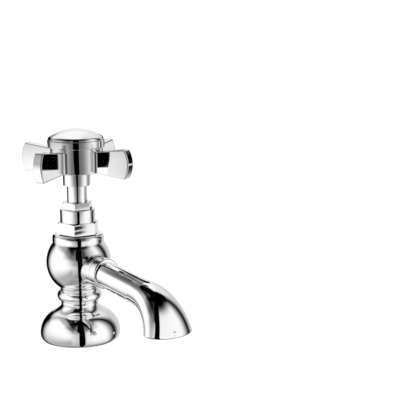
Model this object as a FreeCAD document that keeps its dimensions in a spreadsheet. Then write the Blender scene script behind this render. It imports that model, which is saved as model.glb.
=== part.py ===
import FreeCAD, Part
import math
import os

import Sketcher

# Basin pillar tap with a four-armed cross handle, in millimetres.
# The origin is the centre of the bell's foot on the deck, +Z is up and the spout points along -Y.

SIZES = (
    # bell that stands on the deck
    ("bell_foot_radius", 23.6, "radius of the bell's foot on the deck"),
    ("bell_bulge", 1.2, "how far the bell's widest part stands out over its foot"),
    ("bell_shoulder", 3.0, "height at which the bell is widest"),
    ("bell_dome_height", 16.8, "height at which the bell's dome ends"),
    ("bell_dome_top_radius", 16.6, "radius at which the bell's dome ends"),
    ("bell_foot_arc", 4.35, "radius of the rounding at the foot"),
    ("bell_dome_arc", 15.5, "radius of the dome's arc"),
    ("bell_cove_arc", 12.0, "radius of the hollow curve under the collar"),
    ("bell_height", 21.3, "height of the bell"),
    ("bell_top_radius", 11.1, "radius of the bell's top edge"),
    ("bell_wall", 2.9, "wall of the bell at its foot"),
    ("bell_top_wall", 5.5, "thickness of the bell's top"),
    ("bell_hollow_top_radius", 12.5, "radius of the hollow's flat top"),
    ("bell_hollow_arc", 16.0, "radius of the arc inside the bell"),
    ("seal_recess_height", 2.6, "depth of the recess for the base seal"),
    ("seal_recess_wall", 1.0, "foot wall outside the base seal"),
    ("base_seal_hole_radius", 12.0, "hole in the base seal"),
    # threaded tail and what clamps it under the deck
    ("tail_radius", 10.48, "outside of the half inch pipe thread"),
    ("tail_length", 48.0, "tail below the deck face"),
    ("tail_bore_radius", 6.5, "waterway in the tail"),
    ("tail_neck_radius", 8.5, "neck screwed into the body"),
    ("tail_chamfer", 0.8, "lead-in on the tail's end"),
    ("tail_free_end", 20.5, "length of the thread below its groove"),
    ("tail_groove_width", 1.0, "groove between the connector's thread and the back nut's"),
    ("tail_groove_depth", 0.7, "depth of that groove"),
    ("deck_thickness", 17.0, "thickness of the deck that is clamped"),
    ("backing_washer_radius", 18.5, "radius of the washer under the deck"),
    ("backing_washer_thickness", 2.0, "thickness of that washer"),
    ("back_nut_flats", 30.0, "across flats of the back nut"),
    ("back_nut_height", 7.0, "height of the back nut"),
    # cast body
    ("collar_radius", 11.5, "step of the body on the bell"),
    ("collar_step_height", 1.4, "height of that step"),
    ("collar_neck_radius", 11.0, "narrow neck over the step"),
    ("collar_neck_height", 1.0, "height of that neck"),
    ("bead_height", 6.8, "height of the bead moulding"),
    ("bead_bulge", 2.75, "how far the bead stands out"),
    ("lip_groove", 0.4, "groove between bead and lip"),
    ("lip_radius", 11.8, "radius of the lip under the ball"),
    ("ball_radius", 19.9, "radius of the ball"),
    ("lip_height", 1.28, "height of that lip"),
    ("ball_wall", 3.3, "wall of the ball"),
    ("flange_radius", 15.8, "radius of the flange on the ball"),
    ("flange_height", 5.8, "height of the flange over the ball"),
    ("flange_round", 1.0, "rounding of the flange's top edge"),
    ("floor_rise", 5.4, "floor round the seat over the bottom of the ball's hollow"),
    ("seat_ring_radius", 8.5, "outside of the valve seat"),
    ("seat_ring_depth", 4.0, "depth of the seat's pocket"),
    ("inlet_radius", 6.9, "waterway under the seat"),
    ("tail_socket_depth", 8.7, "depth of the tail's socket in the body"),
    ("tail_end_space", 0.5, "space over the tail's end in that socket"),
    # bosses on the ball
    ("spout_drop", 2.1, "spout's axis below the ball's centre"),
    ("boss_radius", 9.2, "radius of the spout boss"),
    ("boss_length", 4.9, "how far the spout boss stands out of the ball"),
    ("boss_bore_radius", 6.4, "waterway in the boss"),
    ("spigot_radius", 7.2, "spigot of the spout"),
    ("spigot_length", 7.2, "length of that spigot"),
    ("rear_boss_length", 1.6, "how far the rear boss stands out of the ball"),
    ("plug_thread_radius", 6.5, "thread of the rear plug"),
    ("plug_thread_length", 5.5, "length of that thread"),
    ("plug_rim", 1.0, "straight rim of the rear plug"),
    ("plug_dome", 2.0, "height of the rear plug's dome"),
    ("running_gap", 0.05, "gap on a thread, shaft or spigot"),
    # spout
    ("spout_collar_length", 5.7, "length of the collar on the spout"),
    ("spout_collar_round", 0.6, "rounding of that collar's end"),
    ("spout_radius", 7.9, "radius of the spout's tube"),
    ("spout_wall", 1.6, "wall of the spout"),
    ("spout_slope_deg", 5.2, "fall of the straight tube, degrees"),
    ("spout_run", 44.0, "length of the straight tube"),
    ("spout_bend_radius", 23.0, "radius of the bend's centre line"),
    ("spout_end_deg", 75.8, "fall of the spout at its mouth, degrees"),
    ("mouth_tilt_deg", 14.2, "further turn of the mouth's plane, degrees"),
    ("mouth_half_depth", 11.2, "half of the mouth, front to back"),
    ("mouth_shift", 0.5, "how far the mouth's middle lies below the tube's middle line"),
    ("mouth_half_width", 14.9, "half of the mouth, side to side"),
    ("spout_root_inset", 1.2, "start of the tube's centre line past the boss face"),
    ("flare_start", 35.2, "where the flare starts along the tube"),
    ("flare_power", 1.2, "how the flare gathers towards the mouth"),
    ("mouth_wall", 1.4, "wall of the spout at its mouth"),
    ("seal_wire_radius", 0.55, "section radius of the spout's O-ring"),
    ("seal_groove_depth", 1.1, "depth of the O-ring's groove"),
    ("seal_groove_width", 1.5, "width of that groove"),
    ("seal_setback", 3.6, "O-ring's centre behind the boss face"),
    ("spigot_bore_radius", 5.4, "waterway in the spigot"),
    # bonnet and gland
    ("gasket_thickness", 0.4, "thickness of the bonnet gasket"),
    ("gasket_edge", 0.3, "how far the gasket is inside the flats"),
    ("bonnet_flats", 23.1, "across flats of the bonnet"),
    ("bonnet_hex_height", 7.3, "height of the bonnet's hexagon"),
    ("hex_chamfer", 0.5, "drop of a hexagon's corners"),
    ("bonnet_neck_radius", 10.7, "radius of the bonnet's round neck"),
    ("bonnet_neck_height", 7.7, "height of that neck"),
    ("bonnet_neck_chamfer", 0.4, "chamfer on that neck"),
    ("bonnet_barrel_radius", 9.5, "thread of the bonnet in the body"),
    ("bonnet_barrel_length", 12.5, "length of that thread"),
    ("gland_bore_radius", 7.9, "packing chamber in the bonnet"),
    ("gland_bore_depth", 11.0, "depth of the packing chamber"),
    ("guide_length", 4.5, "length of the guide under the packing"),
    ("packing_height", 4.5, "height of the gland packing"),
    ("gland_ring_height", 1.5, "height of the ring on the packing"),
    ("gland_nut_flats", 16.5, "across flats of the gland nut"),
    ("gland_nut_height", 4.5, "height of the gland nut's hexagon"),
    ("hex_corner_deg", -12.0, "direction of a hexagon corner, degrees"),
    # spindle and valve
    ("stem_radius", 6.1, "polished stem of the spindle"),
    ("screw_radius", 7.2, "screw of the spindle"),
    ("screw_length", 9.5, "length of that screw"),
    ("spindle_foot_height", 2.5, "height of the spindle's plain foot"),
    ("spindle_foot_radius", 5.5, "radius of that foot"),
    ("drive_square", 8.2, "square on the spindle's top"),
    ("drive_square_height", 9.0, "height of that square"),
    ("jumper_stem_radius", 3.0, "stem of the jumper"),
    ("jumper_stem_length", 10.0, "length of that stem"),
    ("jumper_neck_radius", 5.0, "neck under the spindle"),
    ("jumper_neck_height", 3.65, "height of that neck"),
    ("jumper_disc_radius", 7.6, "disc over the washer"),
    ("jumper_disc_height", 3.0, "height of that disc"),
    ("tap_washer_radius", 8.0, "radius of the tap washer"),
    ("tap_washer_height", 3.5, "height of the tap washer"),
    ("seat_bore_radius", 5.6, "waterway in the seat"),
    ("seat_lip_radius", 6.5, "radius of the seat's raised lip"),
    ("seat_lip_height", 1.75, "height of the lip over the floor"),
    ("stud_radius", 2.0, "stud through the tap washer"),
    ("washer_nut_flats", 7.0, "across flats of the washer nut"),
    ("washer_nut_height", 2.4, "height of the washer nut"),
    ("stud_proud", 0.6, "stud below the washer nut"),
    # cross handle
    ("shroud_radius", 8.3, "collar under the handle"),
    ("stem_show", 10.0, "bare stem between gland nut and collar, shut"),
    ("shroud_height", 8.3, "height of that collar"),
    ("shroud_chamfer", 0.4, "chamfer on that collar"),
    ("drum_radius", 16.0, "radius of the handle's drum"),
    ("drum_height", 15.2, "height of the drum"),
    ("drum_round", 0.5, "rounding of the drum's lower edge"),
    ("arm_reach", 38.8, "tip of an arm from the axis"),
    ("arm_thickness", 6.0, "thickness of an arm"),
    ("arm_drop", 0.7, "an arm's middle below the drum's middle"),
    ("arm_root_height", 11.9, "height of an arm at the drum"),
    ("arm_tip_height", 17.6, "height of an arm at its tip"),
    ("arm_tip_bulge", 2.6, "rounding of an arm's end"),
    ("arm_bury", 5.0, "depth of an arm's root in the drum"),
    ("arm_edge_round", 0.7, "rounding of an arm's edges"),
    ("handle_turn_deg", 22.2, "turn of the handle at rest, degrees"),
    ("web_thickness", 9.2, "drum under the screw"),
    ("screw_well_radius", 9.0, "well round the screw"),
    ("skirt_radius", 17.2, "radius of the cap's skirt"),
    ("skirt_height", 4.5, "height of the cap's skirt"),
    ("skirt_thread_radius", 13.5, "thread of the skirt in the drum"),
    ("skirt_thread_length", 3.5, "length of that thread"),
    ("skirt_bore_radius", 11.5, "hole in the skirt"),
    ("skirt_round", 0.4, "rounding of the skirt's edges"),
    ("cap_radius", 16.7, "radius of the domed cap"),
    ("cap_rim", 1.4, "straight rim of the cap"),
    ("cap_dome", 5.1, "height of the cap's dome"),
    ("cap_spigot_length", 3.8, "spigot of the cap in the skirt"),
    ("screw_head_radius", 4.8, "head of the handle screw"),
    ("screw_head_height", 3.0, "height of that head"),
    ("screw_shank_radius", 2.5, "shank of the handle screw"),
    ("screw_shank_length", 11.5, "length of that shank"),
    ("screw_slot_width", 1.2, "slot in the screw's head"),
    ("screw_slot_depth", 1.4, "depth of that slot"),
    ("spring_washer_radius", 5.2, "radius of the spring washer"),
    ("spring_washer_height", 1.0, "height of the spring washer"),
    ("cut_overrun", 1.0, "how far a cut runs past a face"),
)


class Length:
    """A size as a sheet expression together with its present value."""

    def __init__(self, text, value):
        self.text = text
        self.value = value

    @staticmethod
    def of(other):
        return other if isinstance(other, Length) else Length(repr(other), float(other))

    def __add__(self, other):
        other = Length.of(other)
        return Length(f"({self.text} + {other.text})", self.value + other.value)

    def __sub__(self, other):
        other = Length.of(other)
        return Length(f"({self.text} - {other.text})", self.value - other.value)

    def __mul__(self, other):
        other = Length.of(other)
        return Length(f"({self.text} * {other.text})", self.value * other.value)

    def __truediv__(self, other):
        other = Length.of(other)
        return Length(f"({self.text} / {other.text})", self.value / other.value)

    def __neg__(self):
        return Length(f"(0 - {self.text})", -self.value)

    def root(self):
        return Length(f"sqrt({self.text})", math.sqrt(self.value))


doc = FreeCAD.newDocument("basin_pillar_tap")
sheet = doc.addObject("Spreadsheet::Sheet", "Sizes")
for row, (alias, value, note) in enumerate(SIZES, start=1):
    sheet.set(f"A{row}", note)
    sheet.set(f"B{row}", str(value))
    sheet.setAlias(f"B{row}", alias)
doc.recompute()

nodes = []
ZERO = Length("0", 0.0)


def size(alias):
    """The named size of the sheet."""
    return Length(f"Sizes.{alias}", float(sheet.get(alias)))


def bind(item, prop, length):
    """Sets a property of an object to a size and keeps it bound to the sheet."""
    item.setExpression(prop, length.text)


def place(item, across=ZERO, along=ZERO, up=ZERO, rotation=None):
    """Puts an object at a place that follows the sheet."""
    item.Placement = FreeCAD.Placement(
        FreeCAD.Vector(across.value, along.value, up.value), rotation or FreeCAD.Rotation()
    )
    for axis, length in (("x", across), ("y", along), ("z", up)):
        if length is not ZERO:
            bind(item, f"Placement.Base.{axis}", length)


def keep(item, label):
    """Names an object as one of the tap's pieces."""
    item.Label = label
    nodes.append(item)
    return item


TO_FRONT = FreeCAD.Rotation(FreeCAD.Vector(1, 0, 0), 90)
TO_REAR = FreeCAD.Rotation(FreeCAD.Vector(1, 0, 0), -90)


def cylinder(radius, height, up=ZERO, along=ZERO, rotation=None):
    """A plain cylinder, upright unless it is turned."""
    item = doc.addObject("Part::Cylinder", "cylinder")
    bind(item, "Radius", radius)
    bind(item, "Height", height)
    place(item, along=along, up=up, rotation=rotation)
    return item


def prism(flats, height, up):
    """An upright hexagon with one corner in the common direction of all the tap's hexagons."""
    item = doc.addObject("Part::Prism", "hexagon")
    item.Polygon = 6
    bind(item, "Circumradius", flats / Length("sqrt(3)", math.sqrt(3)))
    bind(item, "Height", height)
    place(item, up=up)
    bind(item, "Placement.Rotation.Angle", size("hex_corner_deg"))
    return item


def cut(base, *tools):
    """One object less one or more others."""
    item = doc.addObject("Part::Cut", "cut")
    item.Base = base
    item.Tool = tools[0] if len(tools) == 1 else fuse(*tools)
    return item


def fuse(*shapes):
    """Several objects as one."""
    item = doc.addObject("Part::MultiFuse", "fuse")
    item.Shapes = list(shapes)
    item.Refine = True
    return item


def common(*shapes):
    """What several objects share."""
    item = doc.addObject("Part::MultiCommon", "common")
    item.Shapes = list(shapes)
    return item


def ring(outer, inner, height, up):
    """A flat ring or washer."""
    over = size("cut_overrun")
    disc = cylinder(outer, height, up)
    hole = cylinder(inner, height + over + over, up - over)
    return cut(disc, hole)


def arc_centre(start, end, radius, side):
    """The centre of an arc between two points; side is 1 when it bulges to the right of the way."""
    mid_x = (start[0] + end[0]) / 2
    mid_y = (start[1] + end[1]) / 2
    half = math.hypot(end[0] - start[0], end[1] - start[1]) / 2
    rise = math.sqrt(max(radius * radius - half * half, 0.0))
    way_x = (end[0] - start[0]) / (2 * half)
    way_y = (end[1] - start[1]) / (2 * half)
    return mid_x - side * way_y * rise, mid_y + side * way_x * rise


def outline(sketch, corners):
    """Draws a closed outline in a sketch and ties every corner and arc to the sheet.

    Each corner is (across, up) or (across, up, radius, side), where radius makes an arc of the
    edge that leaves the corner and side says to which hand of the way it bulges.
    """
    count = len(corners)
    starts = []
    for number, corner in enumerate(corners):
        after = corners[(number + 1) % count]
        start = (corner[0].value, corner[1].value)
        end = (after[0].value, after[1].value)
        first = FreeCAD.Vector(start[0], start[1], 0)
        last = FreeCAD.Vector(end[0], end[1], 0)
        if len(corner) == 2:
            edge = sketch.addGeometry(Part.LineSegment(first, last), False)
            starts.append((edge, 1, 2))
            continue
        radius, side = corner[2], corner[3]
        centre = arc_centre(start, end, radius.value, side)
        begin = math.atan2(start[1] - centre[1], start[0] - centre[0])
        finish = math.atan2(end[1] - centre[1], end[0] - centre[0])
        circle = Part.Circle(
            FreeCAD.Vector(centre[0], centre[1], 0), FreeCAD.Vector(0, 0, 1), radius.value
        )
        if side > 0:
            edge = sketch.addGeometry(Part.ArcOfCircle(circle, begin, finish), False)
            starts.append((edge, 1, 2))
        else:
            edge = sketch.addGeometry(Part.ArcOfCircle(circle, finish, begin), False)
            starts.append((edge, 2, 1))
    for number, (edge, begin, finish) in enumerate(starts):
        next_edge, next_begin, _ = starts[(number + 1) % count]
        sketch.addConstraint(Sketcher.Constraint("Coincident", edge, finish, next_edge, next_begin))
    for corner, (edge, begin, _) in zip(corners, starts):
        for kind, length, axis in (("DistanceX", corner[0], -2), ("DistanceY", corner[1], -1)):
            if length is ZERO:
                sketch.addConstraint(Sketcher.Constraint("PointOnObject", edge, begin, axis))
                continue
            index = sketch.addConstraint(
                Sketcher.Constraint(kind, -1, 1, edge, begin, length.value)
            )
            sketch.setExpression(f"Constraints[{index}]", length.text)
        if len(corner) == 4:
            index = sketch.addConstraint(Sketcher.Constraint("Radius", edge, corner[2].value))
            sketch.setExpression(f"Constraints[{index}]", corner[2].text)


def origin_plane(body, role):
    """One of a body's own origin planes."""
    for feature in body.Origin.OriginFeatures:
        if feature.Role == role:
            return feature
    raise ValueError(role)


def turned(name, corners, up=ZERO, along=ZERO, rotation=None):
    """A body turned about its own axis from an outline of (radius, height) corners."""
    body = doc.addObject("PartDesign::Body", name)
    sketch = body.newObject("Sketcher::SketchObject", f"{name}_outline")
    sketch.AttachmentSupport = (origin_plane(body, "XZ_Plane"), [""])
    sketch.MapMode = "FlatFace"
    outline(sketch, corners)
    turning = body.newObject("PartDesign::Revolution", f"{name}_turned")
    turning.Profile = sketch
    turning.ReferenceAxis = (sketch, ["V_Axis"])
    turning.Angle = 360.0
    body.Tip = turning
    place(body, along=along, up=up, rotation=rotation)
    return body


def cap_arc(radius, rise):
    """The arc radius of a dome of a given foot radius and rise."""
    return (radius * radius + rise * rise) / (rise * 2)


def chamfered_hexagon(flats, height, up):
    """A hexagon whose upper corners are turned off, as on a nut."""
    drop = size("hex_chamfer")
    corner = flats / Length("sqrt(3)", math.sqrt(3))
    across = flats / 2
    flank = turned(
        "hexagon_flank",
        [
            (ZERO, ZERO),
            (corner, ZERO),
            (corner, height - drop),
            (across, height),
            (ZERO, height),
        ],
        up,
    )
    return common(prism(flats, height, up), flank)


over = size("cut_overrun")
gap = size("running_gap")


def chord(radius, across):
    """How far along its axis a ball is as wide as a given radius."""
    return (radius * radius - across * across).root()


# Heights of the stack, each from the one below it

bell_top = size("bell_height")
hollow_top = bell_top - size("bell_top_wall")
socket_top = bell_top + size("tail_socket_depth")
step_top = bell_top + size("collar_step_height")
bead_foot = step_top + size("collar_neck_height")
lip_foot = bead_foot + size("bead_height") + size("lip_groove")
lip_top = lip_foot + size("lip_height")
ball_centre = lip_top + chord(size("ball_radius"), size("lip_radius"))
flange_foot = ball_centre + chord(size("ball_radius"), size("flange_radius"))
body_top = flange_foot + size("flange_height")
floor_drop = size("ball_radius") - size("ball_wall") - size("floor_rise")
chamber_floor = ball_centre - floor_drop
spout_axis = ball_centre - size("spout_drop")
boss_reach = size("ball_radius") + size("boss_length")
rear_boss_reach = size("ball_radius") + size("rear_boss_length")
hex_bottom = body_top + size("gasket_thickness")
hex_top = hex_bottom + size("bonnet_hex_height")
neck_top = hex_top + size("bonnet_neck_height")
gland_top = neck_top + size("gland_nut_height")
shroud_bottom = gland_top + size("stem_show")
drum_bottom = shroud_bottom + size("shroud_height")
drum_top = drum_bottom + size("drum_height")
skirt_top = drum_top + size("skirt_height")


# Bell, base seal and threaded tail

def make_bell():
    """The bell-shaped base, hollow from below, that stands on the deck."""
    widest = size("bell_foot_radius") + size("bell_bulge")
    inner = widest - size("bell_wall")
    recess = size("bell_foot_radius") - size("seal_recess_wall")
    hole = size("tail_neck_radius") + gap
    return turned(
        "bell",
        [
            (recess, ZERO),
            (size("bell_foot_radius"), ZERO, size("bell_foot_arc"), 1),
            (widest, size("bell_shoulder"), size("bell_dome_arc"), 1),
            (size("bell_dome_top_radius"), size("bell_dome_height"), size("bell_cove_arc"), -1),
            (size("bell_top_radius"), bell_top),
            (hole, bell_top),
            (hole, hollow_top),
            (size("bell_hollow_top_radius"), hollow_top, size("bell_hollow_arc"), -1),
            (inner, size("seal_recess_height")),
            (recess, size("seal_recess_height")),
        ],
    )


keep(make_bell(), "bell_base")
keep(
    ring(
        size("bell_foot_radius") - size("seal_recess_wall") - gap,
        size("base_seal_hole_radius"),
        size("seal_recess_height"),
        ZERO,
    ),
    "base_seal",
)


def make_tail():
    """The threaded tail: it goes through the deck and the bell and screws into the body."""
    bore = size("tail_bore_radius")
    shoulder = size("tail_length") + hollow_top
    top = size("tail_length") + socket_top - size("tail_end_space")
    groove = size("tail_radius") - size("tail_groove_depth")
    groove_top = size("tail_free_end") + size("tail_groove_width")
    return turned(
        "tail",
        [
            (bore, ZERO),
            (size("tail_radius") - size("tail_chamfer"), ZERO),
            (size("tail_radius"), size("tail_chamfer")),
            (size("tail_radius"), size("tail_free_end")),
            (groove, size("tail_free_end")),
            (groove, groove_top),
            (size("tail_radius"), groove_top),
            (size("tail_radius"), shoulder),
            (size("tail_neck_radius"), shoulder),
            (size("tail_neck_radius"), top),
            (bore, top),
        ],
        up=-size("tail_length"),
    )


keep(make_tail(), "inlet_tail")
washer_bottom = -(size("deck_thickness") + size("backing_washer_thickness"))
keep(
    ring(
        size("backing_washer_radius"),
        size("tail_radius") + gap,
        size("backing_washer_thickness"),
        washer_bottom,
    ),
    "backing_washer",
)
nut_bottom = washer_bottom - size("back_nut_height")
keep(
    cut(
        chamfered_hexagon(size("back_nut_flats"), size("back_nut_height"), nut_bottom),
        cylinder(
            size("tail_radius") + gap, size("back_nut_height") + over + over, nut_bottom - over
        ),
    ),
    "back_nut",
)


# Cast body: collar, bead, ball, flange and the two bosses

def make_body():
    """The body with its chamber, seat pocket, tail socket, spout boss and rear boss."""
    ball = size("ball_radius")
    half_bead = size("bead_height") / 2
    neck = size("collar_neck_radius")
    lip = size("lip_radius")
    flange = size("flange_radius")
    top_edge = size("flange_round")
    outside = turned(
        "body_outside",
        [
            (ZERO, bell_top),
            (size("collar_radius"), bell_top),
            (size("collar_radius"), step_top),
            (neck, step_top),
            (neck, bead_foot, cap_arc(half_bead, size("bead_bulge")), 1),
            (neck, bead_foot + size("bead_height")),
            (lip, lip_foot),
            (lip, lip_top, ball, 1),
            (flange, flange_foot),
            (flange, body_top - top_edge, top_edge, 1),
            (flange - top_edge, body_top),
            (ZERO, body_top),
        ],
    )
    chamber = ball - size("ball_wall")
    pocket = chamber_floor - size("seat_ring_depth")
    throat = size("bonnet_barrel_radius") + gap
    floor_radius = chord(chamber, floor_drop)
    chamber_top = ball_centre + chord(chamber, throat)
    socket = size("tail_neck_radius") + gap
    inside = turned(
        "body_inside",
        [
            (ZERO, bell_top - over),
            (socket, bell_top - over),
            (socket, socket_top),
            (size("inlet_radius"), socket_top),
            (size("inlet_radius"), pocket),
            (size("seat_ring_radius"), pocket),
            (size("seat_ring_radius"), chamber_floor),
            (floor_radius, chamber_floor, chamber, 1),
            (throat, chamber_top),
            (throat, body_top + over),
            (ZERO, body_top + over),
        ],
    )
    front = cylinder(size("boss_radius"), boss_reach, spout_axis, rotation=TO_FRONT)
    rear = cylinder(size("boss_radius"), rear_boss_reach, spout_axis, rotation=TO_REAR)
    waterway = cylinder(
        size("boss_bore_radius"), boss_reach + over, spout_axis, rotation=TO_FRONT
    )
    socket_start = -(boss_reach - size("spigot_length"))
    spout_socket = cylinder(
        size("spigot_radius") + gap,
        size("spigot_length") + over,
        spout_axis,
        along=socket_start,
        rotation=TO_FRONT,
    )
    plug_hole = cylinder(
        size("plug_thread_radius") + gap, rear_boss_reach + over, spout_axis, rotation=TO_REAR
    )
    return cut(fuse(outside, front, rear), inside, waterway, spout_socket, plug_hole)


keep(make_body(), "ball_body")


def make_rear_plug():
    """The domed plug in the boss behind the ball."""
    thread = size("plug_thread_length")
    rim = thread + size("plug_rim")
    return turned(
        "plug",
        [
            (ZERO, ZERO),
            (size("plug_thread_radius"), ZERO),
            (size("plug_thread_radius"), thread),
            (size("boss_radius"), thread),
            (size("boss_radius"), rim, cap_arc(size("boss_radius"), size("plug_dome")), 1),
            (ZERO, rim + size("plug_dome")),
        ],
        up=spout_axis,
        along=rear_boss_reach - thread,
        rotation=TO_REAR,
    )


keep(make_rear_plug(), "rear_plug")


def make_seat():
    """The screwed-in ring on which the tap washer shuts."""
    foot = chamber_floor - size("seat_ring_depth")
    lip = chamber_floor + size("seat_lip_height")
    return turned(
        "seat",
        [
            (size("seat_bore_radius"), foot),
            (size("seat_ring_radius") - gap, foot),
            (size("seat_ring_radius") - gap, chamber_floor),
            (size("seat_lip_radius"), chamber_floor),
            (size("seat_lip_radius"), lip),
            (size("seat_bore_radius"), lip),
        ],
    )


keep(make_seat(), "valve_seat")


# Spout: spigot, collar, straight tube, bend and flared mouth

SPOUT_STATIONS = 14


def spout_sections(wall, mouth_wall, past):
    """Closed oval wires along the spout's centre line, set in by a wall."""
    slope = math.radians(size("spout_slope_deg").value)
    fall = math.radians(size("spout_end_deg").value)
    tilt = math.radians(size("mouth_tilt_deg").value)
    run = size("spout_run").value
    bend = size("spout_bend_radius").value
    start = boss_reach.value + size("spout_root_inset").value
    height = spout_axis.value
    length = run + bend * (fall - slope)
    flare = size("flare_start").value
    tube = size("spout_radius").value
    wires = []
    for number in range(SPOUT_STATIONS):
        way = length * number / (SPOUT_STATIONS - 1)
        angle = slope
        reach = start + min(way, run) * math.cos(slope)
        level = height - min(way, run) * math.sin(slope)
        if way > run:
            angle = slope + (way - run) / bend
            reach += bend * (math.sin(angle) - math.sin(slope))
            level -= bend * (math.cos(slope) - math.cos(angle))
        share = min(max((way - flare) / (length - flare), 0.0), 1.0)
        share = share ** size("flare_power").value
        shell = wall + (mouth_wall - wall) * share
        depth = tube + (size("mouth_half_depth").value - tube) * share - shell
        width = tube + (size("mouth_half_width").value - tube) * share - shell
        turn = angle + tilt * share
        if number == SPOUT_STATIONS - 1:
            reach += past * math.cos(turn)
            level -= past * math.sin(turn)
        normal = FreeCAD.Vector(0, -math.cos(turn), -math.sin(turn))
        major = FreeCAD.Vector(1, 0, 0)
        upper = normal.cross(major)
        centre = FreeCAD.Vector(0, -reach, level) - upper * (size("mouth_shift").value * share)
        if width - depth > depth * 1e-6:
            oval = Part.Ellipse(
                centre + major * width, centre + upper * depth, centre
            )
        else:
            oval = Part.Circle(centre, normal, width)
            oval.XAxis = major
        wires.append(Part.Wire([oval.toShape()]))
    return wires


def make_spout():
    """The spout as one hollow piece."""
    axis = spout_axis.value
    face = boss_reach.value
    spigot = size("spigot_length").value
    collar = size("spout_collar_length").value
    past = size("cut_overrun").value
    front = FreeCAD.Vector(0, -1, 0)

    def barrel(radius, reach, length):
        return Part.makeCylinder(radius, length, FreeCAD.Vector(0, -reach, axis), front)

    tube = Part.makeLoft(spout_sections(0.0, 0.0, 0.0), True, False, False)
    ferrule = barrel(size("boss_radius").value, face, collar)
    far_edge = [e for e in ferrule.Edges if abs(e.CenterOfMass.y + face + collar) < collar / 4]
    ferrule = ferrule.makeFillet(size("spout_collar_round").value, far_edge[:1])
    solid = barrel(size("spigot_radius").value, face - spigot, spigot).fuse([ferrule, tube])
    hollow = Part.makeLoft(
        spout_sections(size("spout_wall").value, size("mouth_wall").value, past), True, False, False
    )
    bore = barrel(size("spigot_bore_radius").value, face - spigot - past, spigot + collar + past)
    groove_width = size("seal_groove_width").value
    groove_start = face - size("seal_setback").value - groove_width / 2
    groove = barrel(size("spigot_radius").value + past, groove_start, groove_width).cut(
        barrel(
            size("spigot_radius").value - size("seal_groove_depth").value,
            groove_start,
            groove_width,
        )
    )
    return solid.cut([hollow, bore, groove]).removeSplitter()


spout = doc.addObject("Part::Feature", "spout_shape")
spout.Shape = make_spout()
keep(spout, "spout")

seal = doc.addObject("Part::Torus", "seal_torus")
bind(
    seal,
    "Radius1",
    size("spigot_radius") - size("seal_groove_depth") + size("seal_wire_radius"),
)
bind(seal, "Radius2", size("seal_wire_radius"))
place(
    seal,
    along=-(boss_reach - size("seal_setback")),
    up=spout_axis,
    rotation=TO_FRONT,
)
keep(seal, "spout_o_ring")


# Bonnet, gasket and gland

packing_bottom = neck_top - size("gland_bore_depth")
screw_bore_top = packing_bottom - size("guide_length")
barrel_bottom = body_top - size("bonnet_barrel_length")

keep(
    ring(
        size("bonnet_flats") / 2 - size("gasket_edge"),
        size("bonnet_barrel_radius") + gap,
        size("gasket_thickness"),
        body_top,
    ),
    "bonnet_gasket",
)


def make_bonnet():
    """The bonnet: hexagon, round neck and the thread that goes into the body."""
    chamfer = size("bonnet_neck_chamfer")
    neck_radius = size("bonnet_neck_radius")
    neck = turned(
        "bonnet_neck",
        [
            (ZERO, ZERO),
            (neck_radius, ZERO),
            (neck_radius, size("bonnet_neck_height") - chamfer),
            (neck_radius - chamfer, size("bonnet_neck_height")),
            (ZERO, size("bonnet_neck_height")),
        ],
        hex_top,
    )
    hexagon = chamfered_hexagon(size("bonnet_flats"), size("bonnet_hex_height"), hex_bottom)
    barrel = cylinder(
        size("bonnet_barrel_radius"),
        size("bonnet_barrel_length") + size("gasket_thickness"),
        barrel_bottom,
    )
    screw_bore = cylinder(
        size("screw_radius") + gap, screw_bore_top - barrel_bottom + over, barrel_bottom - over
    )
    guide = cylinder(size("stem_radius") + gap, neck_top - screw_bore_top, screw_bore_top)
    packing_bore = cylinder(
        size("gland_bore_radius"), size("gland_bore_depth") + over, packing_bottom
    )
    return cut(fuse(neck, hexagon, barrel), screw_bore, guide, packing_bore)


keep(make_bonnet(), "bonnet")
gland_hole = size("stem_radius") + gap
keep(
    ring(size("gland_bore_radius"), gland_hole, size("packing_height"), packing_bottom),
    "gland_packing",
)
gland_ring_bottom = packing_bottom + size("packing_height")
keep(
    ring(
        size("gland_bore_radius") - gap, gland_hole, size("gland_ring_height"), gland_ring_bottom
    ),
    "gland_ring",
)


def make_gland_nut():
    """The gland nut: a small hexagon over a threaded spigot that presses the packing."""
    spigot_bottom = gland_ring_bottom + size("gland_ring_height")
    hexagon = chamfered_hexagon(size("gland_nut_flats"), size("gland_nut_height"), neck_top)
    spigot = cylinder(size("gland_bore_radius") - gap, neck_top - spigot_bottom, spigot_bottom)
    height = gland_top - spigot_bottom
    hole = cylinder(gland_hole, height + over + over, spigot_bottom - over)
    return cut(fuse(hexagon, spigot), hole)


keep(make_gland_nut(), "gland_nut")


# Valve: jumper, washer and nut, which rise together without turning

washer_bottom_face = chamber_floor + size("seat_lip_height") + gap
disc_bottom = washer_bottom_face + size("tap_washer_height")
stud_bottom = washer_bottom_face - size("washer_nut_height") - size("stud_proud")
neck_end = disc_bottom + size("jumper_disc_height") + size("jumper_neck_height")
spindle_bottom = neck_end + gap


def make_jumper():
    """The jumper: disc, neck, the stem in the spindle and the stud for the washer."""
    disc_top = disc_bottom + size("jumper_disc_height")
    return turned(
        "jumper_shape",
        [
            (ZERO, stud_bottom),
            (size("stud_radius"), stud_bottom),
            (size("stud_radius"), disc_bottom),
            (size("jumper_disc_radius"), disc_bottom),
            (size("jumper_disc_radius"), disc_top),
            (size("jumper_neck_radius"), disc_top),
            (size("jumper_neck_radius"), neck_end),
            (size("jumper_stem_radius"), neck_end),
            (size("jumper_stem_radius"), neck_end + size("jumper_stem_length")),
            (ZERO, neck_end + size("jumper_stem_length")),
        ],
    )


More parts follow.
